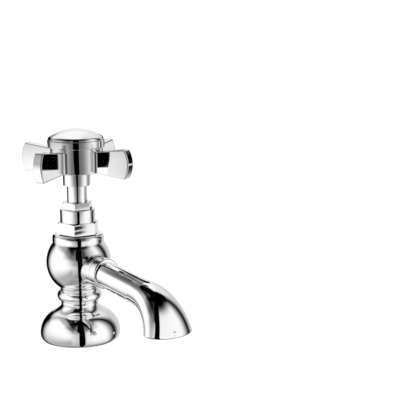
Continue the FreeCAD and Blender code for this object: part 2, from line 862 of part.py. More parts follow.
keep(make_jumper(), "jumper")
keep(
    ring(
        size("tap_washer_radius"),
        size("stud_radius") + gap,
        size("tap_washer_height"),
        washer_bottom_face,
    ),
    "tap_washer",
)
washer_nut_bottom = washer_bottom_face - size("washer_nut_height")
keep(
    cut(
        prism(size("washer_nut_flats"), size("washer_nut_height"), washer_nut_bottom),
        cylinder(
            size("stud_radius") + gap,
            size("washer_nut_height") + over + over,
            washer_nut_bottom - over,
        ),
    ),
    "washer_nut",
)


# Spindle and handle, which turn and rise together

square_top = drum_bottom + size("drive_square_height")


def make_spindle():
    """The spindle: foot, screw, polished stem and the square that drives the handle."""
    screw_bottom = spindle_bottom + size("spindle_foot_height")
    screw_top = screw_bottom + size("screw_length")
    shaft = turned(
        "spindle_shaft",
        [
            (ZERO, spindle_bottom),
            (size("spindle_foot_radius"), spindle_bottom),
            (size("spindle_foot_radius"), screw_bottom),
            (size("screw_radius"), screw_bottom),
            (size("screw_radius"), screw_top),
            (size("stem_radius"), screw_top),
            (size("stem_radius"), drum_bottom),
            (ZERO, drum_bottom),
        ],
    )
    square = doc.addObject("Part::Box", "drive")
    bind(square, "Length", size("drive_square"))
    bind(square, "Width", size("drive_square"))
    bind(square, "Height", size("drive_square_height"))
    half = -(size("drive_square") / 2)
    place(square, half, half, drum_bottom)
    socket = cylinder(
        size("jumper_stem_radius") + gap,
        size("jumper_stem_length") + over + over,
        spindle_bottom - over,
    )
    tapped = cylinder(
        size("screw_shank_radius") + gap, size("screw_shank_length") + over,
        square_top - size("screw_shank_length"),
    )
    return cut(fuse(shaft, square), socket, tapped)


keep(make_spindle(), "spindle")


def make_shroud():
    """The collar between the stem and the drum."""
    height = size("shroud_height")
    chamfer = size("shroud_chamfer")
    bore = size("stem_radius") + gap
    return turned(
        "shroud",
        [
            (bore, ZERO),
            (size("shroud_radius") - chamfer, ZERO),
            (size("shroud_radius"), chamfer),
            (size("shroud_radius"), height),
            (bore, height),
        ],
        shroud_bottom,
    )


keep(make_shroud(), "handle_collar")

ARMS = 4


def make_arm(number):
    """One flat arm that widens outwards to a rounded end."""
    root = size("drum_radius") - size("arm_bury")
    tip = size("arm_reach") - size("arm_tip_bulge")
    middle = drum_bottom + size("drum_height") / 2 - size("arm_drop")
    low_root = middle - size("arm_root_height") / 2
    high_root = middle + size("arm_root_height") / 2
    low_tip = middle - size("arm_tip_height") / 2
    high_tip = middle + size("arm_tip_height") / 2
    end_arc = cap_arc(size("arm_tip_height") / 2, size("arm_tip_bulge"))
    sketch = doc.addObject("Sketcher::SketchObject", f"arm_outline_{number}")
    outline(
        sketch,
        [(root, low_root), (tip, low_tip, end_arc, 1), (tip, high_tip), (root, high_root)],
    )
    turn = size("handle_turn_deg").value + 360.0 * number / ARMS
    sketch.Placement = FreeCAD.Placement(
        FreeCAD.Vector(0, 0, 0),
        FreeCAD.Rotation(FreeCAD.Vector(0, 0, 1), turn).multiply(TO_FRONT),
    )
    plate = doc.addObject("Part::Extrusion", f"arm_plate_{number}")
    plate.Base = sketch
    plate.DirMode = "Normal"
    bind(plate, "LengthFwd", size("arm_thickness"))
    plate.Solid = True
    plate.Symmetric = True
    doc.recompute()
    rounded = doc.addObject("Part::Fillet", f"arm_{number}")
    rounded.Base = plate
    edge_round = size("arm_edge_round").value
    rounded.Edges = [(n, edge_round, edge_round) for n in range(1, len(plate.Shape.Edges) + 1)]
    return rounded


def make_handle():
    """The drum with its arms, the square hole and the well for the screw."""
    low_edge = size("drum_round")
    drum = turned(
        "drum",
        [
            (ZERO, ZERO),
            (size("drum_radius") - low_edge, ZERO, low_edge, 1),
            (size("drum_radius"), low_edge),
            (size("drum_radius"), size("drum_height")),
            (ZERO, size("drum_height")),
        ],
        drum_bottom,
    )
    hole = doc.addObject("Part::Box", "drive_hole")
    width = size("drive_square") + gap + gap
    bind(hole, "Length", width)
    bind(hole, "Width", width)
    bind(hole, "Height", size("web_thickness") + over + over)
    place(hole, -(width / 2), -(width / 2), drum_bottom - over)
    well_bottom = drum_bottom + size("web_thickness")
    well = cylinder(size("screw_well_radius"), drum_top - well_bottom + over, well_bottom)
    thread = cylinder(
        size("skirt_thread_radius") + gap,
        size("skirt_thread_length") + over,
        drum_top - size("skirt_thread_length"),
    )
    arms = [make_arm(number) for number in range(ARMS)]
    return cut(fuse(drum, *arms), hole, well, thread)


keep(make_handle(), "cross_handle")


def make_skirt():
    """The ring on top of the drum that carries the cap."""
    thread = size("skirt_thread_length")
    top = thread + size("skirt_height")
    edge = size("skirt_round")
    return turned(
        "skirt",
        [
            (size("skirt_bore_radius"), ZERO),
            (size("skirt_thread_radius"), ZERO),
            (size("skirt_thread_radius"), thread),
            (size("skirt_radius") - edge, thread, edge, 1),
            (size("skirt_radius"), thread + edge),
            (size("skirt_radius"), top - edge, edge, 1),
            (size("skirt_radius") - edge, top),
            (size("skirt_bore_radius"), top),
        ],
        drum_top - thread,
    )


keep(make_skirt(), "cap_skirt")


def make_cap():
    """The low domed cap."""
    spigot = size("cap_spigot_length")
    rim = spigot + size("cap_rim")
    return turned(
        "cap",
        [
            (ZERO, ZERO),
            (size("skirt_bore_radius") - gap, ZERO),
            (size("skirt_bore_radius") - gap, spigot),
            (size("cap_radius"), spigot),
            (size("cap_radius"), rim, cap_arc(size("cap_radius"), size("cap_dome")), 1),
            (ZERO, rim + size("cap_dome")),
        ],
        skirt_top - spigot,
    )


keep(make_cap(), "dome_cap")

washer_seat = drum_bottom + size("web_thickness")
head_bottom = washer_seat + size("spring_washer_height")
keep(
    ring(
        size("spring_washer_radius"),
        size("screw_shank_radius") + gap,
        size("spring_washer_height"),
        washer_seat,
    ),
    "spring_washer",
)


def make_handle_screw():
    """The slotted screw that holds the handle on the spindle."""
    head = cylinder(size("screw_head_radius"), size("screw_head_height"), head_bottom)
    shank = cylinder(
        size("screw_shank_radius"), size("screw_shank_length"),
        head_bottom - size("screw_shank_length"),
    )
    slot = doc.addObject("Part::Box", "screw_slot")
    length = (size("screw_head_radius") + over) * 2
    bind(slot, "Length", length)
    bind(slot, "Width", size("screw_slot_width"))
    bind(slot, "Height", size("screw_slot_depth") + over)
    head_top = head_bottom + size("screw_head_height")
    place(slot, -(length / 2), -(size("screw_slot_width") / 2), head_top - size("screw_slot_depth"))
    return cut(fuse(head, shank), slot)


keep(make_handle_screw(), "handle_screw")

doc.recompute()

for item in doc.Objects:
    if "Invalid" in item.State or "Error" in item.State:
        raise RuntimeError(f"{item.Label} failed: {item.State}")

os.makedirs("parts", exist_ok=True)
for item in nodes:
    shape = item.Shape
    if shape.isNull() or not shape.isValid() or not shape.Solids:
        raise RuntimeError(f"{item.Label} has no valid shape")
for item in nodes:
    item.Shape.exportStep(os.path.join("parts", f"{item.Label}.step"))
    box = item.Shape.BoundBox
    print(
        f"{item.Label}: {len(item.Shape.Solids)} solid, {item.Shape.Volume:.1f} mm3,"
        f" z {box.ZMin:.2f} to {box.ZMax:.2f}, y {box.YMin:.2f} to {box.YMax:.2f}"
    )
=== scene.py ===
"""Looks of a basin pillar tap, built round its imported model.

The tap stands on z = 0 with its axis on Z and its spout along -Y. Sizes in the classes are in
millimetres and are turned into metres where a mesh is made.
"""

from __future__ import annotations

import logging
import math
from collections.abc import Callable, Sequence
from dataclasses import dataclass, field
from enum import Enum

import bmesh
import bpy
from mathutils import Matrix, Vector


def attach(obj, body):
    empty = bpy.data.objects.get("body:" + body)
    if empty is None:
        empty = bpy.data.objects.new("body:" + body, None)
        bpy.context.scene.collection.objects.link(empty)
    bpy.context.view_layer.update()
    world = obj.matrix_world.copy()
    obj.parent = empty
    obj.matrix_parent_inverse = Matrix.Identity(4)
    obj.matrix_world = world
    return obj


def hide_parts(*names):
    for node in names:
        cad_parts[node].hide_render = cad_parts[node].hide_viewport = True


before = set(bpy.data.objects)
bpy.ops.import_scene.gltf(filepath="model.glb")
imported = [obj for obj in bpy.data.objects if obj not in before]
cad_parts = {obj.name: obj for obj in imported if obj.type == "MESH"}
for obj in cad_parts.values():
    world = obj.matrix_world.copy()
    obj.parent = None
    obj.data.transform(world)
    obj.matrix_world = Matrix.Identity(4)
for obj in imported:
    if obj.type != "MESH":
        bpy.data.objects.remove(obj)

LOG = logging.getLogger("tap")
MM = 0.001
MERGE_M = 1e-7  # points closer together than this are one
AXIS_MM = 1e-6  # a radius under this is on the axis
SHARP_DEG = 32.0  # an edge that turns by more than this is shown sharp
SUPPORT_MM = 0.06  # from a rounding to the point that holds the face beside it
ROUND_STEPS = 8  # steps of a rounded corner
ARC_STEP_DEG = 2.0  # the longest step of an arc
ARC_LEAST = 6  # the fewest steps of an arc

Point = tuple[float, float]
Ring = list[Vector]


class Body(Enum):
    """The rigid bodies that the outer pieces ride on."""

    FIXED = "body"
    HANDLE = "handle"


class Axis(Enum):
    """The way a turned piece's own axis points."""

    UP = "up"
    FRONT = "front"
    REAR = "rear"


# Shader maths


class Sock:
    """A node socket, or a plain number, that can be used in Python arithmetic."""

    def __init__(self, nodes: NodeKit, source: bpy.types.NodeSocket | float) -> None:
        """Wraps a socket of the tree that nodes builds."""
        self.nodes = nodes
        self.source = source

    def _op(self, operation: str, *values: Sock | float) -> Sock:
        """Adds one Math node and wraps its result."""
        links = {number: value for number, value in enumerate(values)}
        return self.nodes.add("ShaderNodeMath", {"operation": operation}, links)

    def __add__(self, other: Sock | float) -> Sock:
        """self + other."""
        return self._op("ADD", self, other)

    def __radd__(self, other: float) -> Sock:
        """other + self."""
        return self._op("ADD", other, self)

    def __sub__(self, other: Sock | float) -> Sock:
        """self - other."""
        return self._op("SUBTRACT", self, other)

    def __rsub__(self, other: float) -> Sock:
        """other - self."""
        return self._op("SUBTRACT", other, self)

    def __mul__(self, other: Sock | float) -> Sock:
        """self * other."""
        return self._op("MULTIPLY", self, other)

    def __rmul__(self, other: float) -> Sock:
        """other * self."""
        return self._op("MULTIPLY", other, self)

    def __truediv__(self, other: Sock | float) -> Sock:
        """self / other."""
        return self._op("DIVIDE", self, other)

    def __abs__(self) -> Sock:
        """abs(self)."""
        return self._op("ABSOLUTE", self)

    def least(self, other: Sock | float) -> Sock:
        """The lesser of two values."""
        return self._op("MINIMUM", self, other)

    def most(self, other: Sock | float) -> Sock:
        """The greater of two values."""
        return self._op("MAXIMUM", self, other)

    def arcsine(self) -> Sock:
        """The angle whose sine is self, in degrees."""
        return self._op("ARCSINE", self) * (180.0 / math.pi)

    def bearing(self, other: Sock) -> Sock:
        """The angle from other's direction towards self's, in degrees."""
        return self._op("ARCTAN2", self, other) * (180.0 / math.pi)

    def ease(self, start: float, end: float) -> Sock:
        """Goes smoothly from 0 to 1.

        Args:
            start: Where it is still 0; it may be the larger of the two.
            end: Where it reaches 1.

        Returns:
            The eased value.
        """
        if start > end:
            return 1.0 - self.ease(end, start)
        settings = {"interpolation_type": "SMOOTHSTEP"}
        return self.nodes.add("ShaderNodeMapRange", settings, {0: self, 1: start, 2: end})


class NodeKit:
    """Builds one node tree."""

    def __init__(self, tree: bpy.types.NodeTree) -> None:
        """Starts on an empty tree."""
        self.tree = tree
        tree.nodes.clear()

    def add(
        self,
        kind: str,
        settings: dict[str, object] | None = None,
        values: dict[int | str, object] | None = None,
        out: int | str = 0,
    ) -> Sock:
        """Adds a node, sets it up and gives one of its outputs.

        Args:
            kind: The node's type.
            settings: Properties that are set before its sockets.
            values: What each input gets, by number or name: a Sock, a socket or a value.
            out: The output that is wrapped.

        Returns:
            The wrapped output.
        """
        node = self.tree.nodes.new(kind)
        for name, value in (settings or {}).items():
            setattr(node, name, value)
        for key, value in (values or {}).items():
            self._feed(node.inputs[key], value)
        return Sock(self, node.outputs[out]) if len(node.outputs) else Sock(self, 0.0)

    def _feed(self, target: bpy.types.NodeSocket, value: object) -> None:
        """Links or sets one input.

        Args:
            target: The input.
            value: A Sock or a socket to link, or a plain value.
        """
        if isinstance(value, Sock):
            value = value.source
        if isinstance(value, bpy.types.NodeSocket):
            self.tree.links.new(value, target)
        else:
            target.default_value = value

    def split(self, vector: Sock) -> tuple[Sock, Sock, Sock]:
        """Takes a vector apart.

        Args:
            vector: The vector.

        Returns:
            Its x, y and z.
        """
        x = self.add("ShaderNodeSeparateXYZ", values={0: vector})
        node = x.source.node
        return x, Sock(self, node.outputs[1]), Sock(self, node.outputs[2])


Look = tuple[Sock | float, Sock | float]


# Finishes

STAIN_SHARE = 0.31  # size of the stains, as a share of the patches' size
WAVE_SIZE_MM = 9.0  # size of the slow unevenness
LATHE_PITCH_MM = 0.12  # pitch of the rings left by turning


@dataclass(frozen=True)
class Finish:
    """A metal, rubber or fibre surface.

    Attributes:
        name: The material's name.
        slot: The record's material slot; not used.
        tint: Its colour.
        tint_change: Share by which the colour varies over the surface.
        metallic: 1 for a metal.
        roughness: Roughness where the surface is cleanest.
        haze: Extra roughness in its dull patches.
        patch_mm: Size of the patches.
        wave_mm: Depth of the slow unevenness of a cast or moulded surface.
        grain_mm: Depth of the fine grain.
        grain_size_mm: Size of the fine grain.
        lathe_mm: Depth of the rings left by turning, 0 for none.
    """

    name: str
    slot: str
    tint: tuple[float, float, float]
    tint_change: float = 0.02
    metallic: float = 1.0
    roughness: float = 0.03
    haze: float = 0.02
    patch_mm: float = 14.0
    wave_mm: float = 0.0
    grain_mm: float = 0.0
    grain_size_mm: float = 0.3
    lathe_mm: float = 0.0

    def material(self) -> bpy.types.Material:
        """Makes the material, or gives the one already made.

        Returns:
            The material.
        """
        found = bpy.data.materials.get(self.name)
        if found:
            return found
        made = bpy.data.materials.new(self.name)
        made.use_nodes = True
        kit = NodeKit(made.node_tree)
        place = kit.add("ShaderNodeTexCoord", out="Object")
        patches = self._noise(kit, place, self.patch_mm, 3.0)
        stain = self._noise(kit, place, self.patch_mm * STAIN_SHARE, 4.0)
        colour = kit.add(
            "ShaderNodeMix",
            {"data_type": "RGBA"},
            {
                0: patches.ease(0.35, 0.75),
                6: (*self.tint, 1.0),
                7: (*(part * (1.0 - self.tint_change) for part in self.tint), 1.0),
            },
            out=2,
        )
        dull = self.roughness + self.haze * (stain.ease(0.45, 0.8) * patches)
        height = self._noise(kit, place, WAVE_SIZE_MM, 1.0) * self.wave_mm
        if self.grain_mm:
            height = height + self._noise(kit, place, self.grain_size_mm, 2.0) * self.grain_mm
        if self.lathe_mm:
            height = height + self._rings(kit, place) * self.lathe_mm
        bump = kit.add(
            "ShaderNodeBump", values={"Strength": 1.0, "Distance": MM, "Height": height}
        )
        shader = kit.add(
            "ShaderNodeBsdfPrincipled",
            values={
                "Base Color": colour,
                "Metallic": self.metallic,
                "Roughness": dull,
                "Normal": bump,
            },
        )
        kit.add("ShaderNodeOutputMaterial", values={0: shader})
        return made

    @staticmethod
    def _noise(kit: NodeKit, place: Sock, size_mm: float, detail: float) -> Sock:
        """Noise from 0 to 1 with features of about one size.

        Args:
            kit: The material's node kit.
            place: Where it is read.
            size_mm: Size of its features.
            detail: How many finer layers it has.

        Returns:
            The noise.
        """
        return kit.add(
            "ShaderNodeTexNoise",
            {"noise_dimensions": "3D"},
            {"Vector": place, "Scale": 1.0 / (size_mm * MM), "Detail": detail},
        )

    @staticmethod
    def _rings(kit: NodeKit, place: Sock) -> Sock:
        """Uneven fine rings round the tap's axis, stacked along it.

        Args:
            kit: The material's node kit.
            place: Where they are read.

        Returns:
            Their height, from 0 to 1.
        """
        _, _, up = kit.split(place)
        return kit.add(
            "ShaderNodeTexNoise",
            {"noise_dimensions": "1D"},
            {"W": up * (1.0 / (LATHE_PITCH_MM * MM)), "Scale": 1.0, "Detail": 2.0},
        )


CHROME_TINT = (0.87, 0.87, 0.88)
CAST_CHROME = Finish("chrome_on_casting", "chrome_body", CHROME_TINT, wave_mm=0.004)
TURNED_CHROME = Finish("chrome_on_turning", "chrome_headwork", CHROME_TINT, lathe_mm=0.00012)
HANDLE_CHROME = Finish("chrome_on_handle", "chrome_handle", CHROME_TINT, wave_mm=0.003)
BRASS = Finish(
    "turned_brass",
    "raw_brass",
    (0.72, 0.53, 0.25),
    tint_change=0.18,
    roughness=0.22,
    haze=0.25,
    patch_mm=6.0,
    grain_mm=0.004,
    lathe_mm=0.006,
)
RUBBER = Finish(
    "black_rubber",
    "seal_rubber",
    (0.022, 0.022, 0.023),
    tint_change=-0.5,
    metallic=0.0,
    roughness=0.55,
    haze=0.3,
    patch_mm=5.0,
    wave_mm=0.05,
    grain_mm=0.02,
)
NYLON = Finish(
    "white_nylon",
    "washer_plastic",
    (0.78, 0.77, 0.72),
    tint_change=0.08,
    metallic=0.0,
    roughness=0.38,
    haze=0.2,
    patch_mm=7.0,
    wave_mm=0.03,
    grain_mm=0.006,
)
FIBRE = Finish(
    "graphite_fibre",
    "fibre_gasket",
    (0.035, 0.032, 0.03),
    tint_change=0.35,
    metallic=0.0,
    roughness=0.7,
    haze=0.2,
    patch_mm=2.0,
    grain_mm=0.03,
    grain_size_mm=0.18,
)
STEEL = Finish(
    "stainless_steel",
    "screw_steel",
    (0.6, 0.6, 0.61),
    tint_change=0.06,
    roughness=0.24,
    haze=0.15,
    patch_mm=3.0,
    lathe_mm=0.003,
)


# Mesh making


@dataclass
class Corner:
    """One corner of a turned outline.

    Attributes:
        r: Radius, in mm.
        z: Height, in mm.
        soft: How much of each side its rounding takes, in mm.
        arc: Radius of the arc that leaves the corner; positive bulges out, negative in, and 0
            is a line.
    """

    r: float
    z: float
    soft: float = 0.0
    arc: float = 0.0


def arc_between(start: Point, end: Point, radius: float) -> list[Point]:
    """Points on an arc between two points, without the last one.

    Args:
        start: Where the arc starts.
        end: Where it ends.
        radius: Its radius; positive bulges to the right of the way, negative to the left.

    Returns:
        The points.
    """
    side = 1.0 if radius > 0 else -1.0
    size = abs(radius)
    dx, dy = end[0] - start[0], end[1] - start[1]
    half = math.hypot(dx, dy) / 2
    rise = math.sqrt(max(size * size - half * half, 0.0))
    cx = (start[0] + end[0]) / 2 - side * dy / (2 * half) * rise
    cy = (start[1] + end[1]) / 2 + side * dx / (2 * half) * rise
    begin = math.atan2(start[1] - cy, start[0] - cx)
    sweep = 2 * math.asin(min(half / size, 1.0)) * side
    count = max(ARC_LEAST, int(abs(math.degrees(sweep)) / ARC_STEP_DEG))
    turns = [begin + sweep * n / count for n in range(count)]
    return [(cx + size * math.cos(turn), cy + size * math.sin(turn)) for turn in turns]


def walk(points: Sequence[Point], length: float) -> tuple[Point, int]:
    """Goes a length along a line of points.

    Args:
        points: The line, from where the walk starts.
        length: How far to go.

    Returns:
        The place reached and how many points were passed.
    """
    for number in range(len(points) - 1):
        (x0, y0), (x1, y1) = points[number], points[number + 1]
        step = math.hypot(x1 - x0, y1 - y0)
        if step >= length:
            share = length / step
            return (x0 + (x1 - x0) * share, y0 + (y1 - y0) * share), number
        length -= step
    return points[-1], len(points) - 1


def rounding(
    corner: Corner, before: list[Point], after: list[Point]
) -> tuple[list[Point], int]:
    """Rounds one corner.

    Args:
        corner: The corner.
        before: The line that comes to it.
        after: The line that leaves it.

    Returns:
        The points of the rounding and how many points of the leaving line it passes.
    """
    coming = before[::-1]
    back, _ = walk(coming, corner.soft)
    ahead, passed = walk(after, corner.soft)
    points = [walk(coming, corner.soft + SUPPORT_MM)[0]]
    for step in range(ROUND_STEPS + 1):
        t = step / ROUND_STEPS
        first, middle, last = (1 - t) ** 2, 2 * t * (1 - t), t * t
        r = first * back[0] + middle * corner.r + last * ahead[0]
        z = first * back[1] + middle * corner.z + last * ahead[1]
        points.append((r, z))
    points.append(walk(after, corner.soft + SUPPORT_MM)[0])
    return points, passed


def outline(corners: Sequence[Corner], closed: bool = True) -> list[Point]:
    """Turns corners into a line of points with arcs and rounded corners.

    Args:
        corners: The corners in order.
        closed: Whether the last corner joins the first.

    Returns:
        The points, in mm.
    """
    runs: list[list[Point]] = []
    count = len(corners)
    last = count if closed else count - 1
    for number in range(last):
        here, following = corners[number], corners[(number + 1) % count]
        start, end = (here.r, here.z), (following.r, following.z)
        runs.append([*arc_between(start, end, here.arc), end] if here.arc else [start, end])
    points: list[Point] = []
    for number, corner in enumerate(corners):
        before = runs[number - 1] if number or closed else None
        after = runs[number] if number < last else None
        first = 1
        if corner.soft and before and after:
            rounded, passed = rounding(corner, before, after)
            points.extend(rounded)
            first = passed + 1
        else:
            points.append((corner.r, corner.z))
        if after:
            reach = len(after) - 1
            limit = corners[(number + 1) % count].soft
            if limit:
                reach = max(reach - walk(after[::-1], limit + SUPPORT_MM)[1], 0)
            points.extend(after[index] for index in range(first, reach))
    return points


def quarter_round(steps: int) -> list[Point]:
    """A quarter circle of radius 1 that starts square to one face and ends along the next.

    Args:
        steps: Its steps.

    Returns:
        How far each point is inside the first face and the second one.
    """
    turns = [math.radians(90.0 / steps * n) for n in range(steps + 1)]
    return [(1 - math.cos(turn), 1 - math.sin(turn)) for turn in turns]


def linked(name: str, mesh: bpy.types.Mesh) -> bpy.types.Object:
    """Puts a mesh in the scene.

    Args:
        name: The object's name.
        mesh: Its mesh.

    Returns:
        The object.
    """
    made = bpy.data.objects.new(name, mesh)
    bpy.context.scene.collection.objects.link(made)
    return made


def drop(item: bpy.types.Object) -> None:
    """Deletes an object and its mesh.

    Args:
        item: The object.
    """
    mesh = item.data
    bpy.data.objects.remove(item)
    bpy.data.meshes.remove(mesh)


def smooth(mesh: bpy.types.Mesh) -> None:
    """Shades a mesh smooth and marks its sharp edges."""
    mesh.shade_smooth()
    mesh.set_sharp_from_angle(angle=math.radians(SHARP_DEG))


def mesh_object(
    name: str, vertices: Sequence[Vector], faces: Sequence[Sequence[int]]
) -> bpy.types.Object:
    """A smooth-shaded object with its faces outwards.

    Args:
        name: Its name.
        vertices: Its points, in metres.
        faces: The points of each face, by number.

    Returns:
        The object.
    """
    mesh = bpy.data.meshes.new(name)
    mesh.from_pydata([tuple(v) for v in vertices], [], faces)
    work = bmesh.new()
    work.from_mesh(mesh)
    bmesh.ops.remove_doubles(work, verts=work.verts, dist=MERGE_M)
    bmesh.ops.recalc_face_normals(work, faces=work.faces)
    work.to_mesh(mesh)
    work.free()
    smooth(mesh)
    return linked(name, mesh)


def skin(rings: Sequence[Ring], closed: bool) -> tuple[list[Vector], list[tuple[int, ...]]]:
    """Joins rings of equal length, or single points at a pole, with faces.

    Args:
        rings: The rings in order.
        closed: Whether the last ring joins the first.

    Returns:
        The points and the faces.
    """
    points: list[Vector] = []
    starts: list[int] = []
    for ring in rings:
        starts.append(len(points))
        points.extend(ring)
    faces: list[tuple[int, ...]] = []
    for number in range(len(rings) if closed else len(rings) - 1):
        after = (number + 1) % len(rings)
        low, high = starts[number], starts[after]
        wide = max(len(rings[number]), len(rings[after]))
        for step in range(wide):
            following = (step + 1) % wide
            lower = [low] if len(rings[number]) == 1 else [low + step, low + following]
            upper = [high] if len(rings[after]) == 1 else [high + following, high + step]
            if len(lower) + len(upper) > 2:
                faces.append((*lower, *upper))
    return points, faces


TURN = {
    Axis.UP: Matrix.Identity(3),
    Axis.FRONT: Matrix.Rotation(math.radians(90.0), 3, "X"),
    Axis.REAR: Matrix.Rotation(math.radians(-90.0), 3, "X"),
}


def lathe(
    name: str,
    corners: Sequence[Corner],
    steps: int = 192,
    axis: Axis = Axis.UP,
    foot: tuple[float, float, float] = (0.0, 0.0, 0.0),
    closed: bool = True,
) -> bpy.types.Object:
    """A turned piece.

    Args:
        name: The object's name.
        corners: Its outline as (radius, height) corners, up the outside.
        steps: Points round it.
        axis: The way its axis points.
        foot: Where height 0 of the outline is, in mm.
        closed: Whether the outline joins up; if not it starts and ends on the axis.

    Returns:
        The object.
    """
    around = [2 * math.pi * n / steps for n in range(steps)]
    rings: list[Ring] = []
    for r, z in outline(corners, closed):
        on_axis = r < AXIS_MM
        places = [(0.0, 0.0)] if on_axis else [(r * math.cos(a), r * math.sin(a)) for a in around]
        rings.append([(TURN[axis] @ Vector((x, y, z)) + Vector(foot)) * MM for x, y in places])
    return mesh_object(name, *skin(rings, closed))


def band(
    inner: float,
    outer: float,
    low: float,
    high: float,
    softs: tuple[float, float, float, float] = (0.0, 0.0, 0.0, 0.0),
) -> list[Corner]:
    """The outline of a plain ring.

    Args:
        inner: Its inner radius.
        outer: Its outer radius.
        low: Height of its lower face.
        high: Height of its upper face.
        softs: Rounding of its corners: inner low, outer low, outer high, inner high.

    Returns:
        The corners.
    """
    places = ((inner, low), (outer, low), (outer, high), (inner, high))
    return [Corner(r, z, soft) for (r, z), soft in zip(places, softs)]


def joined(name: str, *objects: bpy.types.Object) -> bpy.types.Object:
    """Makes several objects one.

    Args:
        name: The new object's name.
        objects: The objects, which are used up.

    Returns:
        The new object.
    """
    work = bmesh.new()
    for item in objects:
        work.from_mesh(item.data)
    mesh = bpy.data.meshes.new(name)
    work.to_mesh(mesh)
    work.free()
    for item in objects:
        drop(item)
    return linked(name, mesh)


def settle(piece: bpy.types.Object, finish: Finish, body: Body, *nodes: str) -> None:
    """Gives a finished piece its material and its body, and hides the nodes it takes the place of.

    Args:
        piece: The piece.
        finish: Its finish.
        body: The body it rides on.
        nodes: The nodes it takes the place of.
    """
    piece.data.materials.clear()
    piece.data.materials.append(finish.material())
    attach(piece, body.value)
    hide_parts(*nodes)
    LOG.info("%s: %d faces on %s", piece.name, len(piece.data.polygons), body.value)


# Hexagons


HALF_SIDE = math.radians(30.0)  # half of a hexagon's side, seen from its axis


@dataclass
class Hexagon:
    """A hexagonal nut with its corners turned off at one or both ends.

    Attributes:
        flats: Across flats, in mm.
        low: Height of its lower face.
        high: Height of its upper face.
        hole: Radius of its hole.
        corner_deg: Direction of one corner.
        corner_round: Rounding of its six edges.
        drop: How far the corners are turned down at the top.
        drop_low: The same at the bottom.
        edge: Height of the broken edge round both faces.
        rim: How far inside the flats its faces end.
        nick: Rounding of the broken edge.
        sag: How far the broken edge starts below the face.
    """

    flats: float
    low: float
    high: float
    hole: float
    corner_deg: float = -12.0
    corner_round: float = 0.25
    drop: float = 0.5
    drop_low: float = 0.0
    edge: float = 0.12
    rim: float = 0.15
    nick: float = 0.03
    sag: float = 0.02

    def corner_centre(self) -> float:
        """Distance of a corner's rounding centre from the axis."""
        return (self.flats / 2 - self.corner_round) / math.cos(HALF_SIDE)

    def flat_end(self) -> float:
        """The angle from a flat's middle to where its corner's rounding starts, in radians."""
        return math.atan2(self.corner_centre() * math.sin(HALF_SIDE), self.flats / 2)

    def radius(self, delta: float) -> float:
        """The hexagon's radius.

        Args:
            delta: The angle from the middle of a flat, in radians.

        Returns:
            The radius there.
        """
        if abs(delta) <= self.flat_end():
            return self.flats / 2 / math.cos(delta)
        centre, off = self.corner_centre(), HALF_SIDE - abs(delta)
        across = centre * math.sin(off)
        return centre * math.cos(off) + math.sqrt(self.corner_round**2 - across**2)

    def angles(self) -> list[float]:
        """The angles at which one side has points.

        Returns:
            Angles from the flat's middle, close together at the corners, in radians.
        """
        flat_steps, corner_steps = 7, 4
        end = self.flat_end()
        near = end - math.radians(0.35)
        flat = [end * n / flat_steps for n in range(-flat_steps, flat_steps + 1)]
        corner = [
            end + (HALF_SIDE - end) * n / corner_steps for n in range(1, corner_steps + 1)
        ]
        return [*(-angle for angle in corner[-2::-1]), *sorted([*flat, near, -near]), *corner]

    def profile(self, wide: float) -> list[Point]:
        """The outline from hole to hole at one place round the nut.

        Args:
            wide: The hexagon's radius there.

        Returns:
            Points of (radius, height), from the lower face to the upper one.
        """
        inner = self.flats / 2
        share = (wide - inner) / (self.radius(HALF_SIDE) - inner)
        top = self.high - self.edge - self.drop * share
        bottom = self.low + self.edge + self.drop_low * share
        rim = inner - self.rim
        low_start, high_start = rim + 0.1, rim + 0.05
        low_edge = min(wide, low_start) if self.drop_low else wide - self.edge
        return [
            (self.hole, self.low),
            (rim - SUPPORT_MM, self.low),
            (rim, self.low),
            (low_edge, self.low + self.sag),
            (wide - self.nick, bottom - self.nick),
            (wide, bottom),
            (wide, bottom + SUPPORT_MM),
            (wide, top - SUPPORT_MM),
            (wide, top),
            (wide - self.nick, top + self.nick),
            (high_start, self.high - self.sag),
            (rim, self.high),
            (rim - SUPPORT_MM, self.high),
            (self.hole, self.high),
        ]

    def build(self, name: str) -> bpy.types.Object:
        """Makes the nut.

        Args:
            name: The object's name.

        Returns:
            The object.
        """
        columns: list[Ring] = []
        for side in range(6):
            middle = math.radians(self.corner_deg + 30.0 + 60.0 * side)
            for delta in self.angles():
                turn = middle + delta
                columns.append(
                    [
                        Vector((r * math.cos(turn), r * math.sin(turn), z)) * MM
                        for r, z in self.profile(self.radius(delta))
                    ]
                )
        return mesh_object(name, *skin(list(map(list, zip(*columns))), True))


# Geometry node trees


